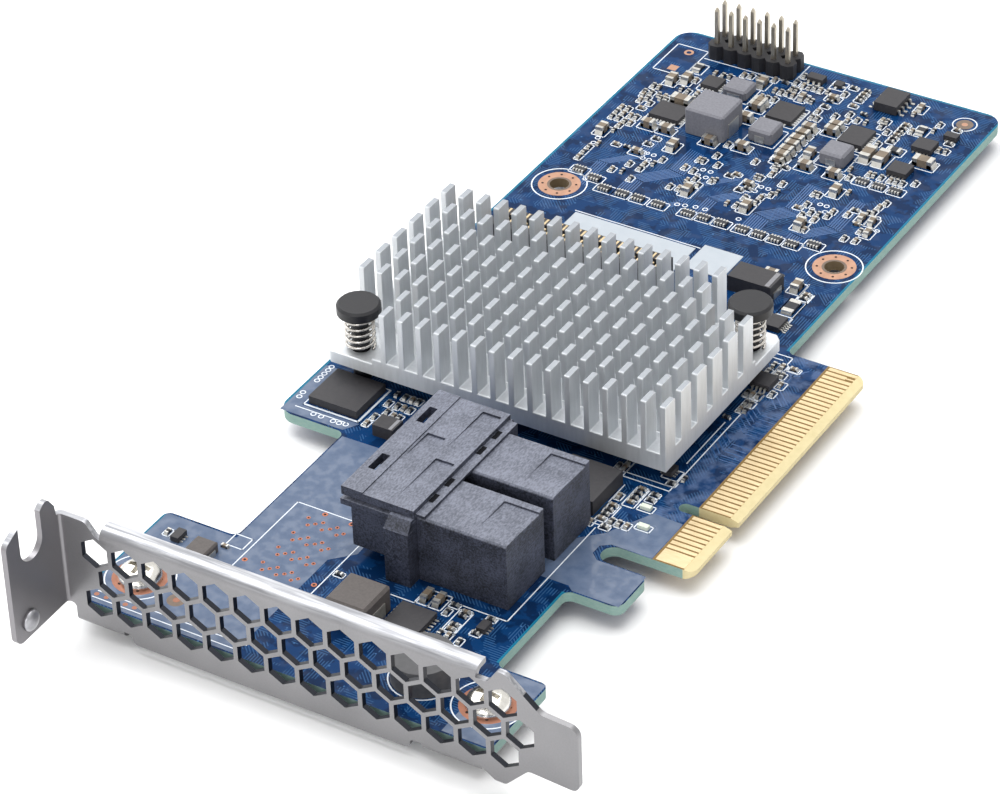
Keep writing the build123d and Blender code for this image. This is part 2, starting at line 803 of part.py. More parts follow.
# Power inductors: moulded blocks with chamfered tops on two side terminals
def make_inductor(width, length, height, chamfer_size, terminal, terminal_along_x):
    """Moulded body and its pair of wrap-around end terminals, centred on z = 0."""
    body = block(-width / 2, width / 2, -length / 2, length / 2, 0.1, height)
    body = chamfer(body.edges().group_by(Axis.Z)[-1], chamfer_size)
    body = chamfer(body.edges().filter_by(Axis.Z), chamfer_size)
    reach = width / 2 if terminal_along_x else length / 2
    terminals = []
    for side in (-1, 1):
        inner = side * (reach - 0.8)
        outer = side * (reach + 0.12)
        low, high = min(inner, outer), max(inner, outer)
        wall_low, wall_high = min(side * reach, outer), max(side * reach, outer)
        half = terminal / 2
        if terminal_along_x:
            foot = block(low, high, -half, half, 0, 0.1)
            wall = block(wall_low, wall_high, -half, half, 0, height * 0.55)
        else:
            foot = block(-half, half, low, high, 0, 0.1)
            wall = block(-half, half, wall_low, wall_high, 0, height * 0.55)
        terminals.append(foot + wall)
    return body, terminals


def place_inductors(name, places, width, length, height, chamfer_size, terminal, terminal_along_x):
    """Write one inductor type's bodies and terminals at all its places."""
    body, terminals = make_inductor(width, length, height, chamfer_size, terminal, terminal_along_x)
    keep(name, *[Pos(x, y, 0) * body for x, y in places])
    return [Pos(x, y, 0) * terminal_piece for x, y in places for terminal_piece in terminals]


inductor_terminals = []
inductor_terminals += place_inductors(
    "inductor_large", [from_far_left(18.7, 23.9)], 6.8, 6.6, 4.6, 0.3, 3.2, True)
inductor_terminals += place_inductors(
    "inductors_medium", [from_far_left(26.9, 22.2), from_far_left(39.6, 22.85)],
    4.2, 4.2, 2.2, 0.35, 1.6, False)
inductor_terminals += place_inductors(
    "inductor_flat", [from_far_left(17.2, 12.9)], 4.2, 4.0, 1.65, 0.35, 2.2, False)
inductor_terminals += place_inductors(
    "inductor_square", [from_near_left(35.6, 15.1)], 6.4, 6.6, 4.1, 0.4, 3.0, True)
inductor_terminals += place_inductors(
    "inductor_small", [from_near_left(9.7, 15.6)], 3.4, 4.0, 1.6, 0.25, 2.0, True)
keep("inductor_terminals", *inductor_terminals)


# Chips with leads: a moulded body, and bent or flat leads along two sides
lead_thickness = 0.15


def make_lead(foot_length, lead_width, standoff):
    """Bent lead that leaves the body at x = 0 towards +X and stands on z = 0."""
    knee = foot_length * 0.35
    section = Polyline(
        (0, standoff), (knee, standoff), (knee + 0.15, lead_thickness), (foot_length, lead_thickness),
        (foot_length, 0), (knee, 0), (knee - 0.15, standoff - lead_thickness),
        (0, standoff - lead_thickness), close=True)
    return plate_xz(make_face(section), -lead_width / 2, lead_width / 2)


def leaded_chip(centre, width, length, height, lead_count, pitch, foot_length, lead_width, turned,
                bent=True):
    """Body and leads of one chip; leads run along +X and -X, or along Y when turned."""
    standoff = height * 0.5
    if bent:
        lead = make_lead(foot_length, lead_width, standoff)
    else:
        lead = block(0, foot_length, -lead_width / 2, lead_width / 2, 0, lead_thickness)
    body = block(-width / 2, width / 2, -length / 2, length / 2, 0.1, height)
    leads = []
    for turn in (0, 180):
        for number in range(lead_count):
            offset = (number - (lead_count - 1) / 2) * pitch
            leads.append(Rot(0, 0, turn) * Pos(width / 2, offset, 0) * lead)
    move = Pos(centre[0], centre[1], 0) * Rot(0, 0, 90 if turned else 0)
    return move * body, [move * piece for piece in leads]


leaded_chips = [
    leaded_chip(from_far_left(40.0, 4.95), 3.9, 4.9, 1.6, 4, 1.27, 1.05, 0.42, False),
    leaded_chip(from_far_left(26.3, 4.1), 1.6, 2.8, 1.0, 3, 0.95, 0.55, 0.38, True),
    leaded_chip((-17.8, 44.3), 3.0, 3.0, 1.0, 5, 0.5, 0.9, 0.24, False),
    leaded_chip((-12.1, 30.8), 3.0, 3.0, 1.0, 4, 0.65, 0.9, 0.28, True),
    leaded_chip(from_far_left(52.5, 9.3), 1.4, 2.2, 0.9, 3, 0.65, 0.4, 0.25, True, False),
    leaded_chip(from_far_left(50.1, 13.7), 3.0, 3.3, 1.0, 5, 0.6, 0.45, 0.28, True, False),
    leaded_chip(from_far_left(49.8, 21.5), 3.0, 3.3, 1.0, 5, 0.6, 0.45, 0.28, True, False),
    leaded_chip((-13.6, 6.0), 1.6, 2.0, 0.9, 3, 0.55, 0.4, 0.25, False, False),
    leaded_chip((-18.2, -36.0), 1.3, 2.0, 0.9, 3, 0.6, 0.4, 0.25, False, False),
    leaded_chip((-65.1, -39.3), 1.3, 2.2, 0.9, 3, 0.6, 0.4, 0.25, False, False),
    leaded_chip(from_near_left(42.4, 16.9), 5.4, 5.5, 0.95, 7, 0.7, 0.6, 0.3, False, False),
]
keep("leaded_chip_bodies", *[body for body, leads in leaded_chips])
keep("leaded_chip_leads", *[lead for body, leads in leaded_chips for lead in leads])


# Leadless chips: low moulded squares soldered along their rims
def chip_at(centre, width, length, height):
    """Plain slab on the board."""
    x, y = centre
    return block(x - width / 2, x + width / 2, y - length / 2, y + length / 2, 0, height)


keep("leadless_chips",
     chip_at(from_far_left(12.6, 13.05), 3.0, 3.0, 0.9),
     chip_at(from_far_left(10.8, 23.85), 5.2, 4.3, 0.9),
     chip_at(from_far_left(26.75, 15.45), 4.5, 4.9, 0.9),
     chip_at(from_far_left(39.7, 16.4), 4.2, 5.0, 0.9),
     chip_at(from_far_left(30.1, 3.7), 1.4, 1.4, 0.6))
keep("flash_memory_chip", chip_at((-62.65, -0.55), 8.1, 7.7, 1.3))
keep("bridge_chip", chip_at((-22.0, -3.55), 8.0, 8.3, 2.4))

# Tantalum capacitors: moulded blocks on folded end tabs
tantalum_large = (-24.6, 51.2)
tantalum_small = (-52.9, -5.1)
keep("tantalum_capacitors", chip_at(tantalum_large, 7.2, 4.2, 2.6), chip_at(tantalum_small, 3.4, 2.8, 1.9))
keep("tantalum_tabs",
     *[block(x - 0.12 if side < 0 else x, x if side < 0 else x + 0.12, y - half, y + half, 0, height)
       for (x, y, side, half, height) in (
           (tantalum_large[0] - 3.6, tantalum_large[1], -1, 1.2, 1.2),
           (tantalum_large[0] + 3.6, tantalum_large[1], 1, 1.2, 1.2),
           (tantalum_small[0] - 1.7, tantalum_small[1], -1, 1.0, 0.9),
           (tantalum_small[0] + 1.7, tantalum_small[1], 1, 1.0, 0.9))])


# Ceramic capacitors and resistors, each measured from the far left corner of the board
capacitors_0805_along_y = [
    (6.2, 14.9), (8.2, 13.6), (3.8, 32.8), (15.8, 31.8), (23.9, 41.6), (33.9, 41.4), (43.8, 31.2),
    (43.3, 41.8), (19.3, 9.1), (35.5, 23.9), (50.7, 56.7)]
capacitors_0805_along_x = [
    (9.4, 28.2), (12.6, 28.2), (20.1, 28.0), (25.4, 27.0), (21.9, 19.4), (21.8, 14.4), (21.8, 15.8),
    (32.0, 17.5), (32.0, 19.5), (32.0, 21.4), (32.0, 23.1), (32.0, 24.9), (32.0, 26.4), (35.4, 14.9),
    (35.4, 16.5), (36.4, 27.2), (41.3, 27.2), (45.9, 55.7)]
capacitors_1206_along_y = [(43.5, 19.9), (45.8, 19.9)]
capacitors_1206_along_x = [(10.7, 19.9), (52.0, 17.9)]
capacitors_0603_along_x = [(11.7, 35.7), (31.2, 35.6), (31.1, 7.6), (32.0, 27.6)]
capacitors_0603_along_y = [(26.7, 9.7), (50.6, 35.7), (52.4, 35.9), (53.2, 38.9), (44.5, 3.8)]
resistors_0805_along_y = [(8.1, 9.7), (47.5, 9.6)]
resistors_0805_along_x = [(46.4, 16.6)]
resistor_array_places = [
    (6.4, 44.2), (9.6, 45.2), (12.4, 47.0), (15.5, 47.0), (18.3, 47.0), (21.8, 47.0), (26.9, 47.0),
    (29.6, 46.9), (32.6, 46.9), (36.2, 46.9), (39.0, 46.9), (41.8, 46.9), (44.6, 46.9), (47.6, 45.5),
    (46.0, 26.7), (48.8, 26.7), (51.6, 26.7)]


def far_chips(places, length, width, height, along_x):
    """One size of chip part at places measured from the far left corner."""
    size_x, size_y = (length, width) if along_x else (width, length)
    return [chip_at(from_far_left(*place), size_x, size_y, height) for place in places]


keep("ceramic_capacitors_0805",
     *far_chips(capacitors_0805_along_y, 2.0, 1.25, 1.2, False),
     *far_chips(capacitors_0805_along_x, 2.0, 1.25, 1.2, True),
     chip_at((-28.4, -33.9), 0.95, 2.2, 1.0), chip_at((-26.4, -33.9), 0.95, 2.2, 1.0))
keep("ceramic_capacitors_1206",
     *far_chips(capacitors_1206_along_y, 3.2, 1.6, 1.3, False),
     *far_chips(capacitors_1206_along_x, 3.2, 1.6, 1.3, True))
keep("ceramic_capacitors_0603",
     *far_chips(capacitors_0603_along_x, 1.6, 0.8, 0.8, True),
     *far_chips(capacitors_0603_along_y, 1.6, 0.8, 0.8, False))
keep("chip_resistors",
     *far_chips(resistors_0805_along_y, 2.0, 1.25, 0.55, False),
     *far_chips(resistors_0805_along_x, 2.0, 1.25, 0.55, True),
     chip_at((-17.6, 49.3), 1.7, 3.2, 0.6))
keep("resistor_arrays", *far_chips(resistor_array_places, 2.0, 1.0, 0.45, True))

# Indicator lamps: two small pale parts by the storage connector
keep("indicator_lamps", chip_at((-12.4, -2.75), 1.6, 0.8, 0.55), chip_at((-10.6, -6.7), 1.6, 0.8, 0.55))


# Paper labels stuck on the board behind the heatsink
label_thickness = 0.1
keep("board_labels",
     block(-58.2, -37.5, 49.4, 56.3, 0, label_thickness),
     block(-36.7, -30.2, 51.2, 57.8, 0, label_thickness))
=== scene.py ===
import math
import bmesh
import bpy
import numpy as np
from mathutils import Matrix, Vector


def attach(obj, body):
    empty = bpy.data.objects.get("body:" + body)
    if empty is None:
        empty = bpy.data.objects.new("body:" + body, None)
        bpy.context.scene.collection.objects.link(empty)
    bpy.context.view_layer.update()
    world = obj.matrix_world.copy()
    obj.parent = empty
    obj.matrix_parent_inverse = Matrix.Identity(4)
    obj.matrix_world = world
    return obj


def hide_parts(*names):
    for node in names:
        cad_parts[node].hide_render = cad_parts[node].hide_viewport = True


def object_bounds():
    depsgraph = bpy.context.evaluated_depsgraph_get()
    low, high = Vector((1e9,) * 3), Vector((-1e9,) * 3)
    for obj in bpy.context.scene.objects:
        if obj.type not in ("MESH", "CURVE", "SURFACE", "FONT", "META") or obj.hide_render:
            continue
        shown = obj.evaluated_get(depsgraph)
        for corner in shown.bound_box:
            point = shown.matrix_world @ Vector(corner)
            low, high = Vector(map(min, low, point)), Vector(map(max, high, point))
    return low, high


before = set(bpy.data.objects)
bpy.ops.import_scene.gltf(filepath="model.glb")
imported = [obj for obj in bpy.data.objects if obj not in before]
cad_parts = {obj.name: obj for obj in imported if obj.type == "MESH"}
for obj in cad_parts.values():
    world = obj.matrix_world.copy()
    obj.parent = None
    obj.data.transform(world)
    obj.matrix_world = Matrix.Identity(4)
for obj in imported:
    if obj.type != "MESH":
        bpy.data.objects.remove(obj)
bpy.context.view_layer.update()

# A low-profile storage controller card, lying component side up. Sizes are millimetres in the
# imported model's own frame: X towards the contact edge, Y away from the bracket, Z up from the
# component side. They become metres when a mesh is written.
MM = 0.001


# Circuit board: glass laminate under glossy blue solder mask, bare along the contact edge.
# The mask looks darker over plain laminate than over copper, and the broad copper areas by
# the bracket and the hook catch a grey-violet reflection.
def tone(red, green, blue):
    """Seen colour, 0 to 255 a channel, as the linear colour that a shader takes."""
    seen = np.array([red, green, blue]) / 255
    linear = np.where(seen > 0.04045, ((seen + 0.055) / 1.055) ** 2.4, seen / 12.92)
    return (*linear.tolist(), 1.0)


class Wire:
    """One shader socket. Sums of wires and numbers add Math nodes to its tree."""

    def __init__(self, tree, socket=None):
        self.tree = tree
        self.socket = socket

    def node(self, kind, settings, inputs, output=0):
        """Add a node: its settings, then its socket values or wires. Gives one output."""
        made = self.tree.nodes.new(kind)
        for name, value in settings.items():
            setattr(made, name, value)
        for key, item in inputs.items():
            if isinstance(item, Wire):
                self.tree.links.new(item.socket, made.inputs[key])
            else:
                made.inputs[key].default_value = item
        return Wire(self.tree, made.outputs[output])

    def maths(self, operation, *items):
        """Math node on this wire and the items."""
        return self.node("ShaderNodeMath", {"operation": operation}, dict(enumerate((self, *items))))

    def __add__(self, other):
        return self.maths("ADD", other)

    def __sub__(self, other):
        return self.maths("SUBTRACT", other)

    def __mul__(self, other):
        return self.maths("MULTIPLY", other)

    def __rsub__(self, other):
        return self * -1 + other

    def __gt__(self, other):
        return self.maths("GREATER_THAN", other)

    def __lt__(self, other):
        return self.maths("LESS_THAN", other)

    def either(self, other):
        """The larger of two wires."""
        return self.maths("MAXIMUM", other)

    def ramp(self, low, high):
        """0 up to low, 1 from high, and a smooth step between."""
        settings = {"interpolation_type": "SMOOTHSTEP"}
        inputs = {"Value": self, "From Min": low, "From Max": high}
        return self.node("ShaderNodeMapRange", settings, inputs)

    def mix(self, first, second):
        """Colour that goes from first to second as this wire goes from 0 to 1."""
        return self.node("ShaderNodeMix", {"data_type": "RGBA"}, {0: self, 6: first, 7: second}, 2)

    def noise(self, grain, detail=2.0):
        """Noise from 0 to 1 whose lumps are grain millimetres across."""
        inputs = {"Vector": self, "Scale": 1 / grain, "Detail": detail}
        return self.node("ShaderNodeTexNoise", {}, inputs)

    def dots(self, spacing):
        """Distance, in spacings, to the nearest of scattered points."""
        return self.node("ShaderNodeTexVoronoi", {}, {"Vector": self, "Scale": 1 / spacing})

    def blocks(self, size):
        """A steady random number from 0 to 1 in each square of this place."""
        flat = self.stretched(1, 1, 0)
        steps = {0: flat, 1: (size, size, size)}
        corner = flat.node("ShaderNodeVectorMath", {"operation": "SNAP"}, steps)
        return corner.node("ShaderNodeTexWhiteNoise", {}, {"Vector": corner})

    def stretched(self, x, y, z):
        """This place with each axis multiplied."""
        return self.node("ShaderNodeVectorMath", {"operation": "MULTIPLY"}, {0: self, 1: (x, y, z)})

    def axes(self):
        """The three coordinates of this place."""
        return [self.node("ShaderNodeSeparateXYZ", {}, {0: self}, axis) for axis in range(3)]


class Surface:
    """Principled material with a wire on its object coordinates in millimetres."""

    def __init__(self, name, constants):
        self.material = bpy.data.materials.new(name)
        self.material.use_nodes = True
        self.tree = self.material.node_tree
        self.shader = self.tree.nodes["Principled BSDF"]
        for socket, value in constants.items():
            self.shader.inputs[socket].default_value = value
        start = Wire(self.tree)
        metres = start.node("ShaderNodeTexCoord", {}, {}, "Object")
        scale = {"operation": "SCALE"}
        self.place = start.node("ShaderNodeVectorMath", scale, {0: metres, "Scale": 1 / MM})
        self.normal = start.node("ShaderNodeNewGeometry", {}, {}, "Normal")

    def feed(self, socket, wire):
        """Link a wire to one of the shader's inputs."""
        self.tree.links.new(wire.socket, self.shader.inputs[socket])

    def bump(self, height, depth):
        """Relief: height is a wire from 0 to 1 and depth its full size in millimetres."""
        relief = height.node("ShaderNodeBump", {}, {"Height": height, "Distance": depth * MM})
        self.feed("Normal", relief)


def dress(surface, *node_names):
    """Give CAD nodes this surface's material and no other."""
    for node_name in node_names:
        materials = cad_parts[node_name].data.materials
        materials.clear()
        materials.append(surface.material)


card_holes = np.array([(-64.4, 61.9), (-17.15, 61.9)])
mask_dark = tone(6, 36, 72)
mask_mid = tone(10, 50, 94)
mask_track = tone(54, 94, 138)

board_finish = Surface(
    "blue_mask", {"Specular IOR Level": 0.12, "Coat Roughness": 0.05, "Coat IOR": 1.5})
x, y, z = board_finish.place.axes()
turned_z = board_finish.normal.axes()[2]
copper_patch = board_finish.place.noise(3.2, 3.0).ramp(0.47, 0.53)
masked = copper_patch.mix(mask_dark, mask_mid)
route = board_finish.place.blocks(4.6)
across = (x * 2.3).maths("FRACT") > 0.6
along = (y * 2.3).maths("FRACT") > 0.6
slanting = ((x + y) * 1.7).maths("FRACT") > 0.6
routed = ((route < 0.3) * across).either((route > 0.3) * (route < 0.6) * along)
routed = routed.either((route > 0.6) * (route < 0.8) * slanting)
routed = routed * board_finish.place.noise(2.4, 1.0).ramp(0.46, 0.5)
vias = board_finish.place.dots(1.7) < 0.1
masked = (routed * 0.6).either(vias).mix(masked, mask_track)
wall = (turned_z.maths("ABSOLUTE") < 0.5)
layers = board_finish.place.stretched(1, 1, 6).noise(0.8, 3.0)
glass = layers.mix(tone(110, 146, 142), tone(150, 172, 162))
on_tongue = (y > -12.1) * (y < 39.1)
tongue_patch = on_tongue * (x > -11.5) * board_finish.place.noise(2.2, 4.0).ramp(0.4, 0.62)
masked = (tongue_patch * 0.55).mix(masked, tone(92, 112, 148))
rim = (x < -69.6).either(y > 110.5).either((x > -13.3) * (y > 39.6))
rim = rim.either((x > -13.3) * (y < -24.0) * (y > -41.0))
masked = (rim * 0.75).mix(masked, tone(30, 118, 146))
hole_walls = [((x - hole_x).maths("POWER", 2) + (y - hole_y).maths("POWER", 2)) < 8
              for hole_x, hole_y in card_holes.tolist()]
by_hole = hole_walls[0].either(hole_walls[1])
glass = by_hole.mix(glass, tone(124, 108, 84))
outside = wall.mix(masked, glass)
grain = board_finish.place.noise(1.0, 3.0)
cream = grain.mix(tone(202, 188, 144), tone(218, 204, 162))
gap = grain.mix(tone(112, 88, 50), tone(140, 114, 70))
bare = (x > -6.2) * on_tongue
between_pads = (turned_z.maths("ABSOLUTE") > 0.99) * (x < -1.3)
board_finish.feed("Base Color", bare.mix(outside, between_pads.mix(cream, gap)))
ripple = board_finish.place.noise(2.6, 2.0)
board_finish.feed("Coat Weight", (1 - wall) * (1 - bare) * ripple.ramp(0.5, 0.6) * 0.25)
board_finish.feed("Roughness", bare.either(wall) * 0.4 + 0.16)
board_finish.bump(ripple, 0.02)
dress(board_finish, "circuit_board")


# Copper pours: the broad copper areas by the bracket, along the connector's left and round the
# hook. Their pale grey-violet is partly copper showing through the mask and partly a painted
# reflection. They are etched sheet under the mask, so each is a few hundredths thick here with
# the mask's own gloss.
def prisms(outlines, low, high, top_outlines=None):
    """Upright prisms from outlines (count, corners, 2), anticlockwise, at z = low and z = high.

    Point j of prism i is (outline[i, j], low), and point corners + j is the same corner of the
    top outline at high, which is the low one unless another is given.
    """
    count, corners, _ = outlines.shape
    points = np.zeros((count, 2, corners, 3))
    points[:, 0, :, :2] = outlines
    points[:, 1, :, :2] = outlines if top_outlines is None else top_outlines
    points[:, 0, :, 2] = np.broadcast_to(low, count)[:, None]
    points[:, 1, :, 2] = np.broadcast_to(high, count)[:, None]
    start = np.arange(count)[:, None] * 2 * corners
    ring = np.arange(corners)
    ahead = (ring + 1) % corners
    sides = np.stack(
        [start + ring, start + ahead, start + corners + ahead, start + corners + ring], -1)
    faces = sides.reshape(-1, 4).tolist() + (start + ring[::-1]).tolist()
    return points.reshape(-1, 3), faces + (start + corners + ring).tolist()


def joined(*parts):
    """Several (points, faces) pairs as one."""
    points = np.concatenate([part_points for part_points, part_faces in parts])
    starts = np.cumsum([0] + [len(part_points) for part_points, part_faces in parts])
    faces = [
        [corner + start for corner in face]
        for start, (part_points, part_faces) in zip(starts.tolist(), parts)
        for face in part_faces
    ]
    return points, faces


def add_piece(name, shape, surface):
    """Object from (points, faces) in millimetres with its material."""
    points, faces = shape
    mesh = bpy.data.meshes.new(name)
    mesh.from_pydata((points * MM).tolist(), [], faces)
    mesh.materials.append(surface.material)
    piece = bpy.data.objects.new(name, mesh)
    bpy.context.scene.collection.objects.link(piece)
    return piece


pour_outlines = [
    [(-69.7, -56.3), (-44.6, -56.3), (-44.6, -33.5), (-41.7, -30.5), (-42.8, -6.0), (-46.0, -8.6),
     (-58.2, -8.8), (-58.2, -35.4), (-69.7, -35.4)],
    [(-20.0, -22.5), (-13.2, -22.5), (-12.2, -23.3), (-4.95, -23.3), (-4.95, -15.9), (-12.6, -15.9),
     (-13.9, -14.8), (-13.9, -13.0), (-12.6, -12.0), (-6.3, -12.0), (-6.3, -3.4), (-11.0, -3.2),
     (-14.6, -10.2), (-17.5, -13.0)],
    [(-12.3, -56.3), (-5.1, -56.3), (-5.1, -42.0), (-12.3, -42.0)],
    [(-69.6, -7.5), (-59.0, -7.5), (-57.6, -5.2), (-67.3, -5.2), (-67.3, 4.6), (-69.6, 4.6)],
]
pour_finish = Surface(
    "mask_over_copper", {"Specular IOR Level": 0.5, "Coat Roughness": 0.04, "Coat IOR": 1.6})
pour_ripple = pour_finish.place.noise(1.8, 3.0)
# Pale grey-violet base colour: copper under the mask plus a painted reflection.
pour_finish.feed("Base Color", pour_ripple.mix(tone(62, 80, 108), tone(104, 118, 142)))
pour_finish.feed("Roughness", pour_ripple * 0.1 + 0.14)
pour_finish.feed("Coat Weight", pour_ripple.ramp(0.5, 0.54) * 0.6)
pour_finish.bump(pour_ripple, 0.015)
pour_height = 0.012
pours = add_piece("copper_pours", joined(
    *[prisms(np.array([outline]), 0, pour_height) for outline in pour_outlines]), pour_finish)
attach(pours, "root")


# Etched tracks: bundles of thin copper tracks under the mask that run from the controller to
# the resistor arrays and the power section, and from the contacts inwards.
def strips(ends, width):
    """Outlines of straight strips round segments (count, 2, 2), with square ends.

    Corner = end +- along * width / 2 +- across * width / 2, from the segment's unit vectors.
    """
    ends = np.asarray(ends, float).reshape(-1, 2, 2)
    along = ends[:, 1] - ends[:, 0]
    along *= width / 2 / np.linalg.norm(along, axis=1, keepdims=True)
    across = np.stack([-along[:, 1], along[:, 0]], 1)
    start, end = ends[:, 0] - along, ends[:, 1] + along
    return np.stack([start - across, end - across, end + across, start + across], 1)


def bundle(route, count, step):
    """Segments of count tracks side by side: each is the route moved by its number of steps."""
    route = np.array(route, float)
    moved = route[None] + np.arange(count)[:, None, None] * np.array(step)
    return np.stack([moved[:, :-1], moved[:, 1:]], 2).reshape(-1, 2, 2)


def mottled(name, constants, grain, dark, pale, roughness, spread,
            detail=2.0, stretch=(1, 1, 1), depth=None):
    """Surface whose colour, roughness and, with a depth, relief follow one noise.

    Dark and pale are seen colours. Roughness goes from the given one up by spread.
    """
    surface = Surface(name, constants)
    noise = surface.place.stretched(*stretch).noise(grain, detail)
    surface.feed("Base Color", noise.mix(tone(*dark), tone(*pale)))
    surface.feed("Roughness", noise * spread + roughness)
    if depth is not None:
        surface.bump(noise, depth)
    return surface


track_bundles = [
    bundle([(-62.5, 63.5), (-62.5, 70.5), (-58.5, 74.5), (-58.5, 84.0)], 5, (0.42, 0)),
    bundle([(-56.0, 64.0), (-56.0, 69.0), (-51.5, 73.5), (-51.5, 80.0)], 7, (0.42, -0.1)),
    bundle([(-48.0, 64.2), (-46.0, 66.2), (-46.0, 72.0), (-42.0, 76.0)], 4, (0.42, 0)),
    bundle([(-42.6, 64.2), (-42.6, 69.5), (-39.5, 72.6), (-39.5, 79.0)], 5, (0.42, -0.1)),
    bundle([(-34.5, 64.2), (-34.5, 69.0), (-31.0, 72.5), (-31.0, 80.0)], 8, (0.42, -0.1)),
    bundle([(-27.0, 64.2), (-27.0, 67.0), (-23.0, 71.0), (-23.0, 79.5)], 6, (0.42, -0.1)),
    bundle([(-8.0, 36.5), (-9.5, 35.0), (-9.5, 30.5), (-7.0, 28.0)], 3, (-0.45, -0.8)),
    bundle([(-6.6, 24.0), (-9.0, 24.0), (-11.8, 26.5)], 6, (0, -1.0)),
    bundle([(-6.6, 16.0), (-9.5, 16.0), (-12.0, 18.6)], 5, (0, -1.0)),
]
track_finish = mottled(
    "track_under_mask", {"Specular IOR Level": 0.5, "Coat Roughness": 0.05, "Coat Weight": 0.5}, 4.0,
    (34, 74, 124), (58, 96, 146), 0.15, 0.1)
track_width = 0.2
track_height = 0.014
tracks = add_piece("etched_tracks", prisms(
    strips(np.concatenate(track_bundles), track_width), 0, track_height), track_finish)
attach(tracks, "root")


# Bare copper: plated rings round the mounting and screw holes, alignment discs and the open
# pads at the far left. They are salmon-coloured where no solder covers them.
def discs(centres, radius, sides=16):
    """Regular outlines round centres: centre + radius * (cos a, sin a), a = 2 pi i / sides."""
    centres = np.asarray(centres, float).reshape(-1, 2)
    angle = 2 * np.pi * np.arange(sides) / sides
    spokes = np.stack([np.cos(angle), np.sin(angle)], 1)
    return centres[:, None] + np.broadcast_to(radius, len(centres))[:, None, None] * spokes


def rings(centres, inner, outer, low, high, sides=28):
    """Flat washers: outer and inner circles at both heights, joined in a closed tube."""
    loops = [(outer, low), (outer, high), (inner, high), (inner, low)]
    count = len(centres)
    points = np.zeros((count, 4, sides, 3))
    for number, (radius, level) in enumerate(loops):
        points[:, number, :, :2] = discs(centres, radius, sides)
        points[:, number, :, 2] = level
    start = np.arange(count)[:, None, None] * 4 * sides
    loop = np.arange(4)[:, None]
    side = np.arange(sides)
    ahead = (side + 1) % sides
    here, after = start + loop * sides, start + (loop + 1) % 4 * sides
    faces = np.stack([here + side, here + ahead, after + ahead, after + side], -1)
    return points.reshape(-1, 3), faces.reshape(-1, 4).tolist()


screw_holes = np.array([(-64.75, -48.9), (-9.7, -48.9)])
alignment_marks = np.array([(-17.6, 106.4), (-57.6, -50.7)])
copper_finish = Surface("bare_copper", {"Metallic": 0.55, "Specular IOR Level": 0.6})
copper_noise = copper_finish.place.noise(1.2, 3.0)
# Rings by the bracket, below y = -40, are painted darker: painted shade from the bracket.
copper_finish.feed("Base Color", (copper_finish.place.axes()[1] < -40).mix(
    copper_noise.mix(tone(166, 126, 104), tone(196, 152, 126)),
    copper_noise.mix(tone(128, 84, 64), tone(156, 104, 82))))
copper_finish.feed("Roughness", copper_noise * 0.2 + 0.3)
copper = add_piece("copper_rings", joined(
    rings(card_holes, 1.9, 3.3, 0, 0.02),
    rings(screw_holes, 1.7, 3.95, 0, 0.02),
    prisms(discs(alignment_marks, 0.5), 0, 0.03),
    rings(np.array([(-65.7, 104.9)]), 0.4, 0.8, 0, 0.02),
    prisms(strips([((-65.7, 99.7), (-65.69, 99.7))], 1.5), 0, 0.02),
    prisms(discs([(-67.8, -54.8), (-66.2, -54.8), (-63.1, -54.8), (-61.6, -54.8)], 0.38), 0, 0.02),
), copper_finish)
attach(copper, "root")

rim_finish = mottled(
    "bare_laminate_rim", {"Specular IOR Level": 0.3}, 0.8, (92, 80, 72), (128, 112, 98), 0.5, 0.2)
rims = add_piece("bare_rims", joined(
    rings(card_holes, 1.5, 1.9, 0, 0.03),
    rings(alignment_marks, 0.5, 1.35, 0, 0.02),
), rim_finish)
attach(rims, "root")


# Plated through-holes: a paler copper rim round each, with a dark disc inside that is painted
# shade for the hole, in the rings, under the connector and in rows through the power section.
left_vias = np.array([
    (column, y0 + dy)
    for y0 in (-26.9, -30.7, -34.4, -38.2)
    for dy, columns in (
        (0, (-52.0, -49.6, -47.3)), (-0.75, (-50.4, -48.0, -45.8)), (-1.45, (-51.2, -48.9, -46.5)))
    for column in columns
])
loose_vias = np.array([(-50.4, -25.2), (-46.0, -25.3), (-54.5, -38.9), (-43.2, -39.0)])
ring_angles = 2 * np.pi * (np.arange(8) + 0.5) / 8
ring_spokes = 2.6 * np.stack([np.cos(ring_angles), np.sin(ring_angles)], 1)
ring_vias = (card_holes[:, None] + ring_spokes).reshape(-1, 2)
screw_vias = np.array([
    (-62.0, -48.0), (-66.4, -51.5), (-63.3, -51.6), (-6.9, -48.1), (-11.3, -51.6), (-8.3, -51.6)])
via_finish = mottled("via_rim", {"Metallic": 0.4}, 0.5, (150, 84, 60), (190, 116, 84), 0.35, 0.2)
via_rims = add_piece("via_rims", joined(
    prisms(discs(left_vias, 0.3, 12), 0, 0.03),
    prisms(discs(loose_vias, 0.42, 12), 0, 0.03),
), via_finish)
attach(via_rims, "root")

# Dark disc in each hole: painted shade for the inside of the hole.
hole_shade_finish = mottled("via_hole_shade", {"Specular IOR Level": 0.2}, 0.5, (28, 22, 24), (60, 36, 30), 0.6, 0.2)
via_hole_shade_discs = add_piece("via_hole_shade_discs", joined(
    prisms(discs(left_vias, 0.14, 10), 0, 0.04),
    prisms(discs(loose_vias, 0.2, 10), 0, 0.04),
    prisms(discs(ring_vias, 0.2, 10), 0, 0.04),
    prisms(discs(screw_vias, 0.25, 10), 0, 0.04),
), hole_shade_finish)
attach(via_hole_shade_discs, "root")


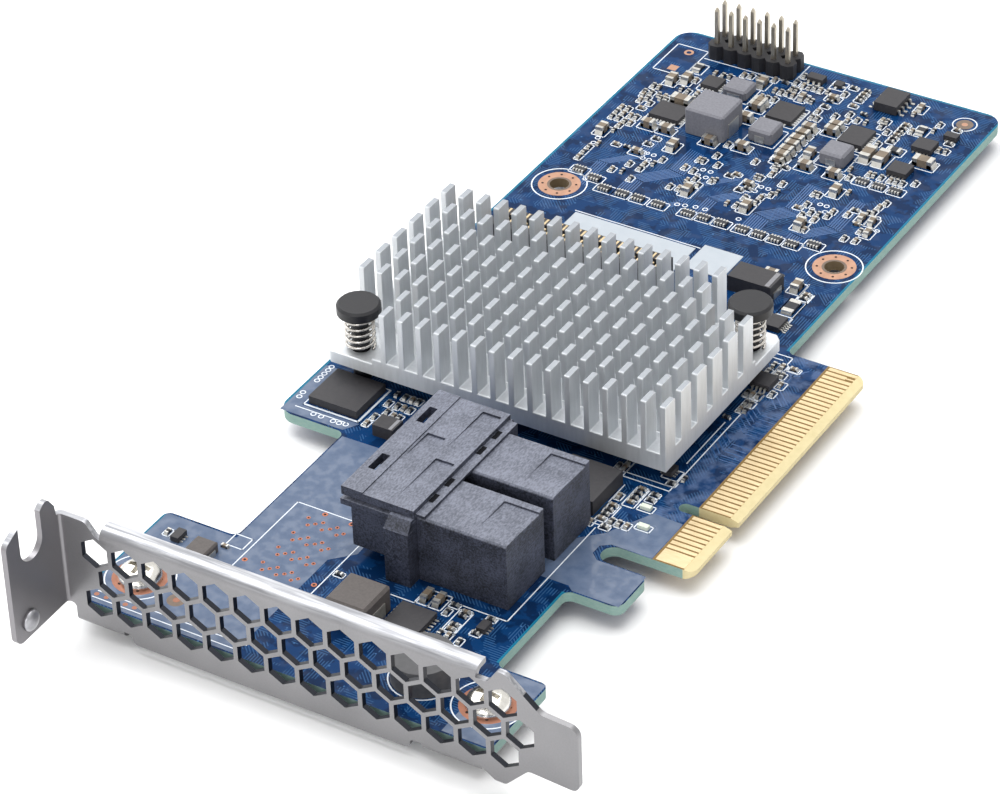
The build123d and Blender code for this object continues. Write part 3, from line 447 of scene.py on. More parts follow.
# Smallest chip capacitors and resistors: too many to be solids in the CAD, 1 by 0.5 mm each,
# brown ceramic or black glaze between tinned ends, in tight rows round the chips
small_along_y = np.array([
    (-58.8, 101.1), (-57.4, 101.1), (-56.3, 101.3), (-54.6, 102.9), (-53.4, 103.1), (-52.2, 103.3),
    (-49.6, 103.9), (-46.0, 107.1), (-46.2, 104.8), (-44.8, 104.5), (-43.7, 104.3), (-42.8, 104.6),
    (-41.8, 104.5), (-45.9, 102.7), (-45.1, 102.7), (-48.1, 101.1), (-47.0, 101.1), (-46.0, 101.3),
    (-44.9, 101.1), (-42.2, 101.2), (-41.4, 100.9), (-49.1, 98.5), (-48.1, 98.5), (-46.9, 98.7),
    (-60.5, 97.9), (-61.2, 94.5), (-60.0, 94.3), (-58.4, 94.5), (-58.2, 93.5), (-65.6, 93.3),
    (-64.6, 93.3), (-66.0, 91.1), (-64.8, 91.3), (-65.4, 88.7), (-64.6, 89.6), (-63.5, 91.3),
    (-62.4, 91.3), (-63.6, 88.5), (-47.0, 83.8), (-64.6, 80.7), (-64.6, 79.0), (-47.0, 80.2),
    (-48.8, 77.9), (-48.1, 77.9), (-45.6, 77.9), (-64.8, 74.5), (-65.6, 73.0), (-65.6, 71.4),
    (-65.6, 69.8), (-53.8, 75.2), (-54.4, 73.5), (-55.6, 72.8), (-55.6, 71.4), (-57.7, 71.8),
    (-59.3, 69.2), (-57.6, 69.4), (-55.5, 68.2), (-49.7, 75.0), (-48.1, 74.7), (-46.7, 72.9),
    (-47.6, 71.8), (-45.5, 71.5), (-49.1, 69.2), (-47.6, 69.4), (-44.3, 73.6), (-43.7, 73.9),
    (-41.0, 81.5), (-37.7, 81.8), (-37.0, 81.2), (-37.1, 79.6), (-38.8, 77.8), (-38.1, 77.8),
    (-34.4, 77.9), (-28.8, 77.8), (-28.1, 77.8), (-24.4, 80.6), (-26.3, 84.4), (-18.1, 80.6),
    (-18.5, 79.2), (-18.6, 77.5), (-19.3, 76.8), (-21.8, 75.2), (-18.0, 72.0), (-19.3, 69.2),
    (-17.5, 69.4), (-33.9, 75.4), (-34.5, 74.4), (-35.5, 73.0), (-35.5, 71.6), (-37.6, 71.9),
    (-39.2, 69.2), (-37.7, 69.4), (-28.5, 74.7), (-24.1, 74.8), (-24.3, 73.4), (-25.6, 73.0),
    (-25.6, 71.6), (-26.9, 73.0), (-27.8, 71.8), (-25.6, 68.4), (-40.6, 104.7), (-37.9, 105.3),
    (-39.3, 98.9), (-39.3, 96.9), (-38.4, 96.9), (-27.2, 86.5), (-26.8, 94.8), (-27.1, 98.6),
    (-23.8, 100.6), (-20.8, 104.3), (-20.9, 102.3), (-17.7, 97.8), (-16.6, 97.8), (-16.7, 87.6),
    (-24.0, 86.6), (-23.2, 86.6), (-22.0, 86.6), (-20.4, 86.6), (-19.4, 86.6), (-18.4, 86.6),
    (-25.8, 105.3), (-34.5, 100.4), (-36.3, 98.9), (-34.0, 98.6), (-32.7, 99.4), (-31.2, 99.4),
    (-29.2, 101.2), (-28.4, 101.2), (-28.6, 99.6), (-39.3, 90.3), (-13.0, 35.4), (-13.0, 33.6),
    (-11.7, 35.6), (-11.5, 33.6), (-10.7, 33.6), (-9.9, 31.5), (-9.9, 29.0), (-13.1, 27.6),
    (-12.3, 27.6), (-11.4, 27.6), (-11.0, 5.5), (-17.0, -2.2), (-15.1, -7.6), (-13.9, -7.6),
    (-12.7, -7.6), (-56.6, 3.2), (-55.2, 3.2), (-54.0, 3.2), (-53.0, 3.2), (-56.6, 0.9), (-54.0, 0.9),
    (-53.0, 0.9), (-56.6, -2.8), (-56.8, -4.6), (-24.4, -35.3), (-22.9, -39.5), (-21.6, -39.5),
    (-67.1, -39.0), (-59.0, 92.5), (-65.8, 90.3), (-62.8, 90.5), (-61.8, 90.5), (-66.9, 85.4), (-65.7, 85.4),
    (-66.9, 83.9), (-65.7, 83.9), (-66.9, 82.4), (-65.7, 82.4), (-64.4, 83.9), (-63.4, 83.9), (-64.4, 82.0),
    (-63.4, 82.0), (-12.1, 25.4), (-11.3, 25.4), (-12.1, 23.7), (-11.3, 23.7), (-19.7, -39.9), (-17.6, -9.1),
    (-55.1, 0.9), (-55.6, -1.0), (-54.3, -1.4), (-53.4, -1.4), (-20.5, 3.9), (-19.6, 3.9), (-19.6, 5.3),
])
small_along_x = np.array([
    (-47.8, 103.9), (-64.1, 86.7), (-57.6, 80.0), (-58.0, 78.1), (-62.3, 75.7), (-60.4, 75.7),
    (-42.6, 76.2), (-41.7, 77.0), (-36.2, 82.2), (-21.3, 76.7), (-19.4, 73.4), (-38.4, 74.2),
    (-39.4, 73.4), (-29.3, 73.3), (-37.5, 107.6), (-35.2, 107.7), (-35.2, 106.7), (-35.2, 105.7),
    (-35.2, 104.7), (-35.2, 102.9), (-39.0, 102.3), (-39.0, 100.7), (-25.4, 101.8), (-25.4, 100.6),
    (-25.4, 99.5), (-25.4, 98.5), (-25.4, 97.5), (-25.4, 96.4), (-17.8, 104.2), (-17.2, 100.1),
    (-32.6, 101.4), (-17.2, 53.3), (-17.2, 52.3), (-41.4, -35.5), (-10.0, 35.8), (-12.9, 21.0),
    (-12.1, 3.8), (-15.0, 0.7), (-15.0, -0.4), (-15.0, -1.5), (-15.0, -2.6), (-12.8, 0.4), (-12.8, -0.9),
    (-16.7, -4.4), (-16.7, -5.5), (-16.7, -6.6), (-16.7, -7.7), (-15.3, -9.2), (-24.2, -33.6),
    (-22.1, -34.2), (-22.1, -35.2), (-22.1, -37.2), (-22.1, -38.2), (-18.4, -33.8), (-18.7, -37.4),
    (-58.4, -37.9),
])
small_half = np.array([0.5, 0.25])
small_height = 0.45


def around(centres, half, height):
    """Lowest and highest corner of boxes on the board round their centres."""
    low = np.column_stack([centres - half, np.zeros(len(centres))])
    high = np.column_stack([centres + half, np.full(len(centres), height)])
    return low, high


def rectangles(low, high):
    """Outlines of boxes seen from above, anticlockwise."""
    x0, y0, x1, y1 = low[:, 0], low[:, 1], high[:, 0], high[:, 1]
    return np.stack([np.stack(corner, 1) for corner in ((x0, y0), (x1, y0), (x1, y1), (x0, y1))], 1)


low_y, high_y = around(small_along_y, small_half[::-1], small_height)
low_x, high_x = around(small_along_x, small_half, small_height)
small_low = np.concatenate([low_y, low_x])
small_high = np.concatenate([high_y, high_x])


# Silkscreen: white ink pressed through a screen onto the mask and cured, as thin lines round the
# parts and rings round the holes.
def solid_boxes(node_name):
    """Lowest and highest corner, in millimetres, of every solid in a CAD node.

    Corners at one place get one number, and each solid takes the lowest number that its
    triangles share, found by passing it on until nothing changes.
    """
    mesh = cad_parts[node_name].data
    places = np.empty(len(mesh.vertices) * 3)
    mesh.vertices.foreach_get("co", places)
    places = places.reshape(-1, 3) / MM
    corners = np.empty(len(mesh.loops), np.int32)
    mesh.loops.foreach_get("vertex_index", corners)
    same = np.unique(places.round(3), axis=0, return_inverse=True)[1].reshape(-1)
    triangles = same[corners].reshape(-1, 3)
    label = np.arange(same.max() + 1)
    changed = True
    while changed:
        passed_on = label.copy()
        np.minimum.at(passed_on, triangles, label[triangles].min(1)[:, None])
        changed = (passed_on != label).any()
        label = passed_on
    solid = np.unique(label[same], return_inverse=True)[1].reshape(-1)
    low = np.full((solid.max() + 1, 3), np.inf)
    high = -low
    np.minimum.at(low, solid, places)
    np.maximum.at(high, solid, places)
    return low, high


def frames(low, high, margin):
    """Four segments round each box seen from above, margin outside it."""
    x0, y0 = (low[:, :2] - margin).T
    x1, y1 = (high[:, :2] + margin).T
    places = [(x0, y0), (x1, y0), (x1, y1), (x0, y1)]
    corners = np.stack([np.stack(place, 1) for place in places], 1)
    return np.stack([corners, np.roll(corners, -1, axis=1)], 2).reshape(-1, 2, 2)


silk_width = 0.17
silk_height = 0.025
ceramic_parts = ("ceramic_capacitors_0805", "ceramic_capacitors_1206", "ceramic_capacitors_0603")
framed_nodes = (*ceramic_parts, "chip_resistors", "resistor_arrays", "inductors_medium", "inductor_flat",
                "leadless_chips", "flash_memory_chip")
silk_segments = [frames(*solid_boxes(name), 0.55) for name in framed_nodes]
silk_segments.append(np.array([
    ((-14.4, 38.3), (-11.5, 38.3)), ((-11.5, 38.3), (-11.5, 36.4)), ((-14.4, 37.2), (-12.6, 37.2)),
    ((-12.6, 20.0), (-12.6, 9.0)), ((-11.6, 24.0), (-11.6, 2.1)), ((-19.0, 3.2), (-12.1, 3.2)),
    ((-18.9, 2.2), (-11.6, 2.2)), ((-19.0, 5.7), (-19.0, 2.0)), ((-17.7, 0.5), (-17.7, -9.0)),
    ((-16.4, -9.8), (-16.4, -33.1)), ((-29.2, -33.1), (-16.4, -33.1)), ((-29.2, -33.1), (-29.2, -35.7)),
    ((-33.0, -35.7), (-29.2, -35.7)), ((-55.3, -24.6), (-46.2, -24.6)), ((-55.25, -24.6), (-55.25, -42.0)),
    ((-42.5, -24.6), (-42.5, -42.0)), ((-58.7, -37.3), (-56.0, -37.3)), ((-58.7, -34.7), (-56.0, -34.7)),
    ((-58.7, -37.3), (-58.7, -34.7)), ((-56.0, -37.3), (-56.0, -34.7)), ((-18.2, 56.0), (-18.2, 51.6)),
    ((-16.2, 53.8), (-16.2, 45.6)), ((-68.5, 98.1), (-68.5, 106.5)), ((-68.5, 106.5), (-63.0, 106.5)),
    ((-63.0, 106.5), (-63.0, 98.1)), ((-68.5, 98.1), (-63.0, 98.1)), ((-58.5, 56.75), (-37.0, 56.75)),
    ((-68.0, -54.1), (-44.0, -54.1)), ((-68.0, -55.5), (-44.0, -55.5)), ((-67.0, -4.8), (-58.1, -4.8)),
    ((-58.2, -4.8), (-58.2, 3.7)), ((-68.0, -5.85), (-59.4, -5.85)), ((-62.6, 104.5), (-46.8, 104.5)),
    ((-46.8, 104.5), (-46.8, 110.3)),
]))
drawn_boxes = np.array([
    (-13.3, 32.8, -12.3, 36.2), (-11.0, 35.1, -8.9, 36.3), (-10.5, 30.5, -9.1, 32.4),
    (-13.6, 26.6, -10.8, 28.4), (-19.0, 46.0, -16.3, 51.5), (-14.3, 4.6, -11.8, 6.9),
    (-15.9, -3.6, -14.0, 1.1), (-17.7, -9.0, -15.6, -4.0),
    (-23.2, -39.0, -21.1, -33.9), (-13.6, -3.5, -11.2, -2.0), (-11.8, -7.4, -9.4, -6.0)])
silk_segments.append(frames(drawn_boxes[:, :2], drawn_boxes[:, 2:], 0.0))
kept = np.arange(len(small_low)) % 5 > 0
silk_segments.append(frames(small_low[kept], small_high[kept], 0.3))
ringed_vias = np.array([
    (-65.8, 76.0), (-65.7, 74.5), (-56.9, 75.8), (-55.7, 75.8), (-56.8, 74.3), (-55.7, 74.3), (-47.0, 75.8),
    (-45.7, 75.8), (-47.0, 74.1), (-45.6, 74.1), (-45.8, 65.5), (-44.6, 65.8), (-43.0, 66.2), (-41.4, 66.3),
    (-36.9, 75.8), (-35.7, 75.8), (-37.2, 74.3), (-35.5, 74.0), (-26.8, 75.8), (-25.7, 75.8), (-25.2, 74.3),
    (-27.3, 74.1), (-17.4, 76.6), (-16.0, 73.4), (-35.7, 66.4), (-68.7, 4.6), (-68.7, 3.7), (-68.7, 2.7),
    (-68.7, 1.7), (-68.7, 0.8), (-68.9, -2.6), (-68.8, -3.7), (-64.7, -6.3), (-63.4, -6.3), (-61.3, -6.4),
    (-60.3, -6.4), (-59.3, -6.2)])
silk_finish = mottled(
    "white_ink", {"Specular IOR Level": 0.3}, 0.6, (206, 214, 224), (232, 236, 240), 0.5, 0.2)
silk = add_piece("silkscreen", joined(
    prisms(strips(np.concatenate(silk_segments), silk_width), 0, silk_height),
    rings(card_holes, 4.15, 4.35, 0, silk_height, 48),
    rings(screw_holes, 4.8, 5.0, 0, silk_height, 48),
    rings(alignment_marks[:1], 1.8, 1.98, 0, silk_height, 32),
    rings(np.array([(-20.0, -48.3)]), 4.6, 4.8, 0, silk_height, 48),
    rings(ringed_vias, 0.3, 0.46, 0, silk_height, 12),
), silk_finish)
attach(silk, "root")


# Chip capacitors and resistors: pressed brown ceramic bricks, and ceramic bricks with a black
# glaze on top. Both stand in solder on their pads.
brown = np.arange(len(small_low)) % 3 == 0
ceramic_finish = mottled(
    "brown_ceramic", {"Specular IOR Level": 0.4}, 1.5,
    (92, 82, 72), (134, 120, 102), 0.35, 0.2, detail=3.0)
small_outlines = rectangles(small_low, small_high)
small_capacitors = add_piece(
    "small_capacitors", prisms(small_outlines[brown], 0, small_height), ceramic_finish)
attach(small_capacitors, "root")

glaze_finish = mottled(
    "black_glaze", {"Specular IOR Level": 0.5}, 1.0, (18, 20, 26), (42, 44, 52), 0.25, 0.2)
small_resistors = add_piece(
    "small_resistors", prisms(small_outlines[~brown], 0, small_height), glaze_finish)
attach(small_resistors, "root")

dress(ceramic_finish, *ceramic_parts)
dress(glaze_finish, "chip_resistors", "resistor_arrays")


# Tinned ends and solder: every chip part has a metal cap on each end that stands in a small
# slope of solder on its pad
def end_caps(low, high, share, swell):
    """Caps over the end share of each part's length, swell larger, and the solder before them.

    A part's long axis in plan is u and the other v. Both ends are centre + side * u * reach.
    """
    middle = (low[:, :2] + high[:, :2]) / 2
    half = (high[:, :2] - low[:, :2]) / 2
    lengthways = (half[:, 0] > half[:, 1])[:, None]
    u = np.where(lengthways, (1.0, 0.0), (0.0, 1.0))
    v = np.stack([-u[:, 1], u[:, 0]], 1)
    reach = half.max(1)[:, None]
    width = half.min(1)[:, None] + swell
    height = high[:, 2]
    shapes = []
    for side in (-1, 1):
        inner = middle + side * u * reach * (1 - 2 * share)
        outer = middle + side * u * (reach + swell)
        foot = middle + side * u * (reach + swell + 0.3 * height[:, None])
        cap = np.stack([inner - side * v * width, outer - side * v * width,
                        outer + side * v * width, inner + side * v * width], 1)
        slope = np.stack([inner - side * v * width, foot - side * v * width,
                          foot + side * v * width, inner + side * v * width], 1)
        shapes.append(prisms(cap, 0, height + swell))
        shapes.append(prisms(slope, 0, height * 0.55, cap))
    return joined(*shapes)


tin_finish = mottled(
    "tinned_ends", {"Metallic": 0.9}, 0.7, (178, 176, 170), (222, 220, 214), 0.28, 0.2, detail=3.0)
capped = [(small_low, small_high)] + [solid_boxes(name) for name in (*ceramic_parts, "chip_resistors")]
cap_share = 0.24
cap_swell = 0.02
caps = add_piece("tinned_ends", joined(
    *[end_caps(low, high, cap_share, cap_swell) for low, high in capped]), tin_finish)
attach(caps, "root")

array_low, array_high = solid_boxes("resistor_arrays")
array_middle = (array_low + array_high) / 2
array_offsets = (np.arange(4) - 1.5) * 0.5
array_centres = (array_middle[:, None, :2] + np.stack([array_offsets, np.zeros(4)], 1)).reshape(-1, 2)
array_ends = []
for side in (-1, 1):
    end = array_centres + np.array([0, side * 0.55])
    array_ends.append(prisms(rectangles(end - (0.13, 0.2), end + (0.13, 0.2)), 0, 0.48))
array_caps = add_piece("array_ends", joined(*array_ends), tin_finish)
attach(array_caps, "root")

dress(tin_finish, "inductor_terminals", "tantalum_tabs", "leaded_chip_leads")


# Chips: black epoxy moulding compound, pressed round the die and leads. It is matt with a
# faint grain all over.
chip_finish = mottled(
    "chip_moulding", {"Specular IOR Level": 0.4}, 0.5,
    (34, 34, 38), (60, 58, 60), 0.42, 0.2, detail=4.0, depth=0.01)
dress(chip_finish, "leaded_chip_bodies", "leadless_chips", "flash_memory_chip", "bridge_chip",
      "controller_chip", "tantalum_capacitors", "stacking_connector")

# Leadless chips' terminals: tinned pads under the edge, with solder that shows a little along
# all four sides.
chip_low, chip_high = solid_boxes("leadless_chips")
terminal_shapes = []
for low, high in zip(chip_low[:, :2], chip_high[:, :2]):
    for axis in (0, 1):
        along = np.arange(low[axis] + 0.5, high[axis] - 0.4, 0.6)
        for edge in (low[1 - axis], high[1 - axis]):
            centres = np.column_stack([along, np.full(len(along), edge)])[:, ::1 if axis == 0 else -1]
            reach = (0.16, 0.5) if axis == 0 else (0.5, 0.16)
            terminal_shapes.append(prisms(rectangles(centres - reach, centres + reach), 0, 0.24))
solder_finish = mottled(
    "solder_fillets", {"Metallic": 0.3, "Specular IOR Level": 0.5}, 0.4,
    (206, 206, 204), (236, 236, 234), 0.25, 0.2)
terminals = add_piece("leadless_terminals", joined(*terminal_shapes), solder_finish)
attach(terminals, "root")

# Thermal pad: a soft grey silicone sheet, pressed between the controller chip and the heatsink
# to carry the heat across.
pad_finish = mottled(
    "soft_pad", {"Specular IOR Level": 0.2}, 1.0, (150, 150, 156), (176, 176, 180), 0.7, 0.2)
dress(pad_finish, "thermal_pad")


# Inductors: grey ferrite pressed round a coil, slightly speckled. The ones by the bracket, below
# y = -30, are coloured darker and browner.
ferrite_finish = Surface("grey_ferrite", {"Specular IOR Level": 0.35})
ferrite_noise = ferrite_finish.place.noise(0.35, 4.0)
by_bracket = ferrite_finish.place.axes()[1] < -30
ferrite_finish.feed("Base Color", by_bracket.mix(
    ferrite_noise.mix(tone(96, 97, 104), tone(132, 132, 139)),
    ferrite_noise.mix(tone(70, 66, 64), tone(98, 92, 90))))
ferrite_finish.feed("Roughness", ferrite_noise * 0.2 + 0.45)
ferrite_finish.bump(ferrite_noise, 0.015)
dress(ferrite_finish, "inductor_large", "inductors_medium", "inductor_flat",
      "inductor_square", "inductor_small")


# Gold contacts: copper pads with hard gold plate, etched with the board. They are bright and
# slightly soft in gloss.
gold_finish = mottled(
    "gold_plating", {"Metallic": 1.0}, 0.6,
    (214, 188, 142), (238, 218, 180), 0.25, 0.15, detail=3.0, stretch=(0.3, 2, 1))
dress(gold_finish, "edge_contacts_top", "edge_contacts_underside", "storage_port_contacts")


# Short contacts' plating tails: the narrow gold strips that reach from a late-mating contact to
# the card's edge
tail_y = np.array([6.5, 20.5, 37.5])
tail_half = np.array([0.33, 0.33, 0.15])
tail_low = np.column_stack([np.full(3, -2.75), tail_y - tail_half])
tail_high = np.column_stack([np.full(3, -1.3), tail_y + tail_half])
tails = add_piece("plating_tails", prisms(rectangles(tail_low, tail_high), 0, 0.04), gold_finish)
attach(tails, "root")


# Contacts of the board-to-board connector: gold-plated spring tips, pressed into the housing in
# two rows along its far edge.
tip_x = np.arange(-63.2, -36.6, 0.8)
tip_rows = [np.column_stack([tip_x, np.full(len(tip_x), row)]) for row in (43.1, 45.4)]
tip_centres = np.concatenate(tip_rows)
tips = add_piece("stacking_contacts", prisms(
    rectangles(tip_centres - (0.16, 0.75), tip_centres + (0.16, 0.75)), 4.6, 5.04), gold_finish)
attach(tips, "root")


# Indicator lamps: small surface-mounted lamps, a pale clear resin block cast over each die and
# soldered at both ends.
lamp_finish = mottled(
    "lamp_resin", {"Specular IOR Level": 0.5}, 0.5, (196, 206, 190), (226, 232, 216), 0.2, 0.1)
dress(lamp_finish, "indicator_lamps")


# Tantalum capacitors' polarity bars: a pale bar marked on the positive end of each moulded
# block.
bar_finish = mottled(
    "printed_bar", {"Specular IOR Level": 0.3}, 0.4, (118, 118, 122), (142, 142, 146), 0.5, 0.2)
bars = add_piece("polarity_bars", joined(
    prisms(rectangles(np.array([(-22.1, 49.3)]), np.array([(-21.4, 53.1)])), 2.6, 2.615),
    prisms(rectangles(np.array([(-52.0, -6.4)]), np.array([(-51.5, -3.8)])), 1.9, 1.915)), bar_finish)
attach(bars, "root")


# Heatsink: extruded and cross-cut aluminium, clear anodised satin. The saw leaves a small
# chamfer on every pin's top, which catches the light, and the upward faces of the pin tops are
# painted paler as a highlight.
def merged_copy(node_name, piece_name, surface, smooth_angle=None):
    """Copy of a CAD node with its loose triangles sewn together."""
    shell = bmesh.new()
    shell.from_mesh(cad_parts[node_name].data)
    bmesh.ops.remove_doubles(shell, verts=shell.verts, dist=0.002 * MM)
    mesh = bpy.data.meshes.new(piece_name)
    shell.to_mesh(mesh)
    shell.free()
    if "custom_normal" in mesh.attributes:
        mesh.attributes.remove(mesh.attributes["custom_normal"])
    if smooth_angle is None:
        mesh.shade_flat()
    else:
        mesh.shade_smooth()
        mesh.set_sharp_from_angle(angle=math.radians(smooth_angle))
    mesh.materials.clear()
    mesh.materials.append(surface.material)
    piece = bpy.data.objects.new(piece_name, mesh)
    bpy.context.scene.collection.objects.link(piece)
    return piece


def soften(piece, width, segments):
    """Bevel on the piece's real edges."""
    bevel = piece.modifiers.new("edges", "BEVEL")
    bevel.width = width * MM
    bevel.segments = segments
    bevel.limit_method = "ANGLE"
    bevel.angle_limit = math.radians(40)


sink_finish = Surface("anodised_aluminium", {"Metallic": 0.75, "Specular IOR Level": 0.5})
sink_grain = sink_finish.place.stretched(1, 1, 0.15).noise(0.5, 4.0)
# Upward faces above z = 13 get a paler colour: a painted highlight.
painted_top_highlight = sink_finish.normal.axes()[2].ramp(0.85, 0.98) * (sink_finish.place.axes()[2] > 13)
sink_finish.feed("Base Color", painted_top_highlight.mix(
    sink_grain.mix(tone(196, 199, 202), tone(220, 223, 226)),
    sink_grain.mix(tone(146, 150, 155), tone(166, 170, 175))))
sink_finish.feed("Roughness", painted_top_highlight * 0.15 + sink_grain * 0.15 + 0.42)
sink_finish.bump(sink_grain, 0.01)
heatsink = merged_copy("heatsink", "pin_fin_heatsink", sink_finish)
soften(heatsink, 0.16, 2)
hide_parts("heatsink")
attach(heatsink, "root")


# Push pins and springs: moulded black nylon pins with round heads, pushed through the board,
# and bright steel coils under their heads that press the heatsink down.
nylon_finish = mottled(
    "black_nylon", {"Specular IOR Level": 0.45}, 0.8,
    (12, 12, 15), (26, 26, 31), 0.38, 0.15, detail=3.0, depth=0.02)
push_pins = merged_copy("push_pins", "sprung_push_pins", nylon_finish, 40)
soften(push_pins, 0.12, 2)
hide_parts("push_pins")
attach(push_pins, "root")

spring_finish = mottled(
    "spring_steel", {"Metallic": 1.0}, 0.5, (176, 172, 166), (214, 210, 204), 0.22, 0.1)


def coils(centres, radius, wire, low, high, turns, steps=24, sides=8):
    """Round-wire helices: a ring of sides points at every step along each coil.

    Centre line: centre + radius * (cos t, sin t) and z from low to high as t goes round turns
    times. A ring point is the centre line + wire * (cos s * outwards + sin s * up).
    """
    count = int(turns * steps) + 1
    t = np.linspace(0, 2 * np.pi * turns, count)
    side = 2 * np.pi * np.arange(sides) / sides
    outwards = np.stack([np.cos(t), np.sin(t)], 1)
    spread = radius + wire * np.cos(side)
    flat = np.asarray(centres)[:, None, None] + outwards[None, :, None] * spread[None, None, :, None]
    level = np.linspace(low, high, count)[:, None] + wire * np.sin(side)
    points = np.concatenate([flat, np.broadcast_to(level[None, ..., None], (*flat.shape[:3], 1))], -1)
    start = np.arange(len(centres))[:, None, None] * count * sides
    ring = np.arange(count - 1)[:, None] * sides
    here = np.arange(sides)
    ahead = (here + 1) % sides
    tube = np.stack([start + ring + here, start + ring + sides + here, start + ring + sides + ahead,
                     start + ring + ahead], -1).reshape(-1, 4).tolist()
    first = (start[:, 0] + here).tolist()
    last = (start[:, 0] + (count - 1) * sides + here[::-1]).tolist()
    return points.reshape(-1, 3), tube + first + last


push_pin_places = [(-63.7, 5.15), (-15.05, 32.0)]
coil_radius = 2.05
wire_radius = 0.22
spring_low = 5.22
spring_high = 10.88
spring_turns = 5.5
springs = add_piece("coil_springs", coils(
    push_pin_places, coil_radius, wire_radius, spring_low, spring_high, spring_turns), spring_finish)
springs.data.shade_smooth()
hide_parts("push_pin_springs")
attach(springs, "root")


# Storage connector: glass-filled charcoal plastic in three mouldings, with the mottled swirls
# that the glass leaves. It stands on the board on two legs.
port_finish = Surface("charcoal_plastic", {"Specular IOR Level": 0.45})
swirl = port_finish.place.stretched(1.0, 0.45, 1.0).noise(0.24, 6.0)
cloud = port_finish.place.noise(4.0, 3.0)
mottle = (swirl * 0.65 + cloud * 0.35).ramp(0.32, 0.68)
# Faces that point up are painted paler than the rest: painted light from above.
port_painted_top_light = port_finish.normal.axes()[2].ramp(0.4, 0.9)
port_finish.feed("Base Color", port_painted_top_light.mix(
    mottle.mix(tone(14, 16, 22), tone(72, 76, 92)), mottle.mix(tone(70, 74, 86), tone(118, 122, 136))))
port_finish.feed("Roughness", swirl * 0.3 + 0.35)
port_finish.bump(swirl, 0.05)
for name in ("storage_port_shell", "storage_port_rear_near", "storage_port_rear_far"):
    housing = merged_copy(name, name.replace("storage_port", "moulded_port"), port_finish)
    soften(housing, 0.1, 2)
    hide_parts(name)
    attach(housing, "root")

shoulder_low = np.array([[(-35.3, -33.3), (-31.5, -33.3), (-31.5, -31.0), (-35.3, -31.0)],
                         [(-35.3, -7.1), (-31.5, -7.1), (-31.5, -4.9), (-35.3, -4.9)]])
shoulder_top = np.array([[(-35.0, -32.2), (-31.5, -32.2), (-31.5, -31.0), (-35.0, -31.0)],
                         [(-35.0, -7.1), (-31.5, -7.1), (-31.5, -6.0), (-35.0, -6.0)]])
shoulders = add_piece("port_leg_shoulders", prisms(shoulder_low, 8.75, 10.5, shoulder_top), port_finish)
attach(shoulders, "root")

# Four thin dark sheets along the ledge: painted shade where its slots are.
slot_y = np.array([-27.0, -23.0, -14.8, -10.8])
slot_shade_finish = mottled(
    "painted_slot_shade", {"Specular IOR Level": 0.1}, 0.4, (10, 11, 14), (22, 23, 28), 0.7, 0.2)
slot_low = np.column_stack([np.full(4, -31.45), slot_y - 0.95])
slot_high = np.column_stack([np.full(4, -30.75), slot_y + 0.95])
slot_shades = add_piece("ledge_slot_shades", prisms(rectangles(slot_low, slot_high), 11.1, 11.13), slot_shade_finish)
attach(slot_shades, "root")


# Pin header: square pale-plated pins pushed through a matt black moulded strip and soldered
# under the board.
header_finish = mottled(
    "header_plastic", {"Specular IOR Level": 0.4}, 0.6,
    (20, 20, 24), (40, 40, 44), 0.4, 0.2, detail=3.0)
dress(header_finish, "pin_header_body")

plating_finish = mottled(
    "pin_plating", {"Metallic": 0.95}, 0.4,
    (150, 142, 128), (206, 198, 182), 0.25, 0.15, detail=3.0, stretch=(1, 1, 0.3))
dress(plating_finish, "pin_header_pins")


# Buzzer: a low round can of black plastic behind the bracket, soldered to the board.
# A small hole in its lid lets the sound out.
buzzer_finish = mottled(
    "buzzer_case", {"Specular IOR Level": 0.4}, 0.8,
    (60, 60, 62), (86, 86, 88), 0.4, 0.2, detail=3.0)
dress(buzzer_finish, "buzzer")


# Bracket: one steel sheet, stamped with its vents, folded and nickel plated to a satin. The
# walls inside its vents are painted dark as shade, and two screws hold its feet to the board.
steel_finish = Surface("satin_nickel", {"Metallic": 0.85})
steel_grain = steel_finish.place.noise(0.25, 4.0)
steel_cloud = steel_finish.place.noise(9.0, 2.0)
steel_x, steel_y, steel_z = steel_finish.place.axes()
sheet_edge = steel_finish.normal.axes()[1].maths("ABSOLUTE") < 0.5
sheet_edge = sheet_edge * (steel_y < -57.6) * (steel_y > -58.6)
# Walls inside the vents: painted shade, a flat dark grey.
vent_wall_shade = sheet_edge * (steel_z < 13.1) * (steel_z > -0.15) * (steel_x > -67.2) * (steel_x < 3.6)
plated = (steel_grain * 0.4 + steel_cloud * 0.6).mix(tone(122, 122, 124), tone(154, 153, 155))
# The ear, beyond x = -69, is painted one flat grey for the light on its face.
plated = (steel_x < -69.0).mix(plated, tone(140, 138, 141))
# Flange top: a painted highlight band with painted shade streaks along the bend.
flange_top_highlight = steel_finish.normal.axes()[2].ramp(0.3, 0.9) * (steel_z > 13.2)
bend_light_streaks = steel_finish.place.stretched(0.06, 1, 1).noise(0.5, 4.0).ramp(0.35, 0.65)
plated = flange_top_highlight.mix(plated, bend_light_streaks.mix(tone(136, 137, 141), tone(182, 183, 187)))
steel_finish.feed("Base Color", vent_wall_shade.mix(plated, tone(46, 48, 54)))
steel_finish.feed("Roughness", steel_grain * 0.1 + 0.32)
bracket = merged_copy("bracket", "folded_bracket", steel_finish, 35)
soften(bracket, 0.07, 1)
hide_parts("bracket")
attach(bracket, "root")
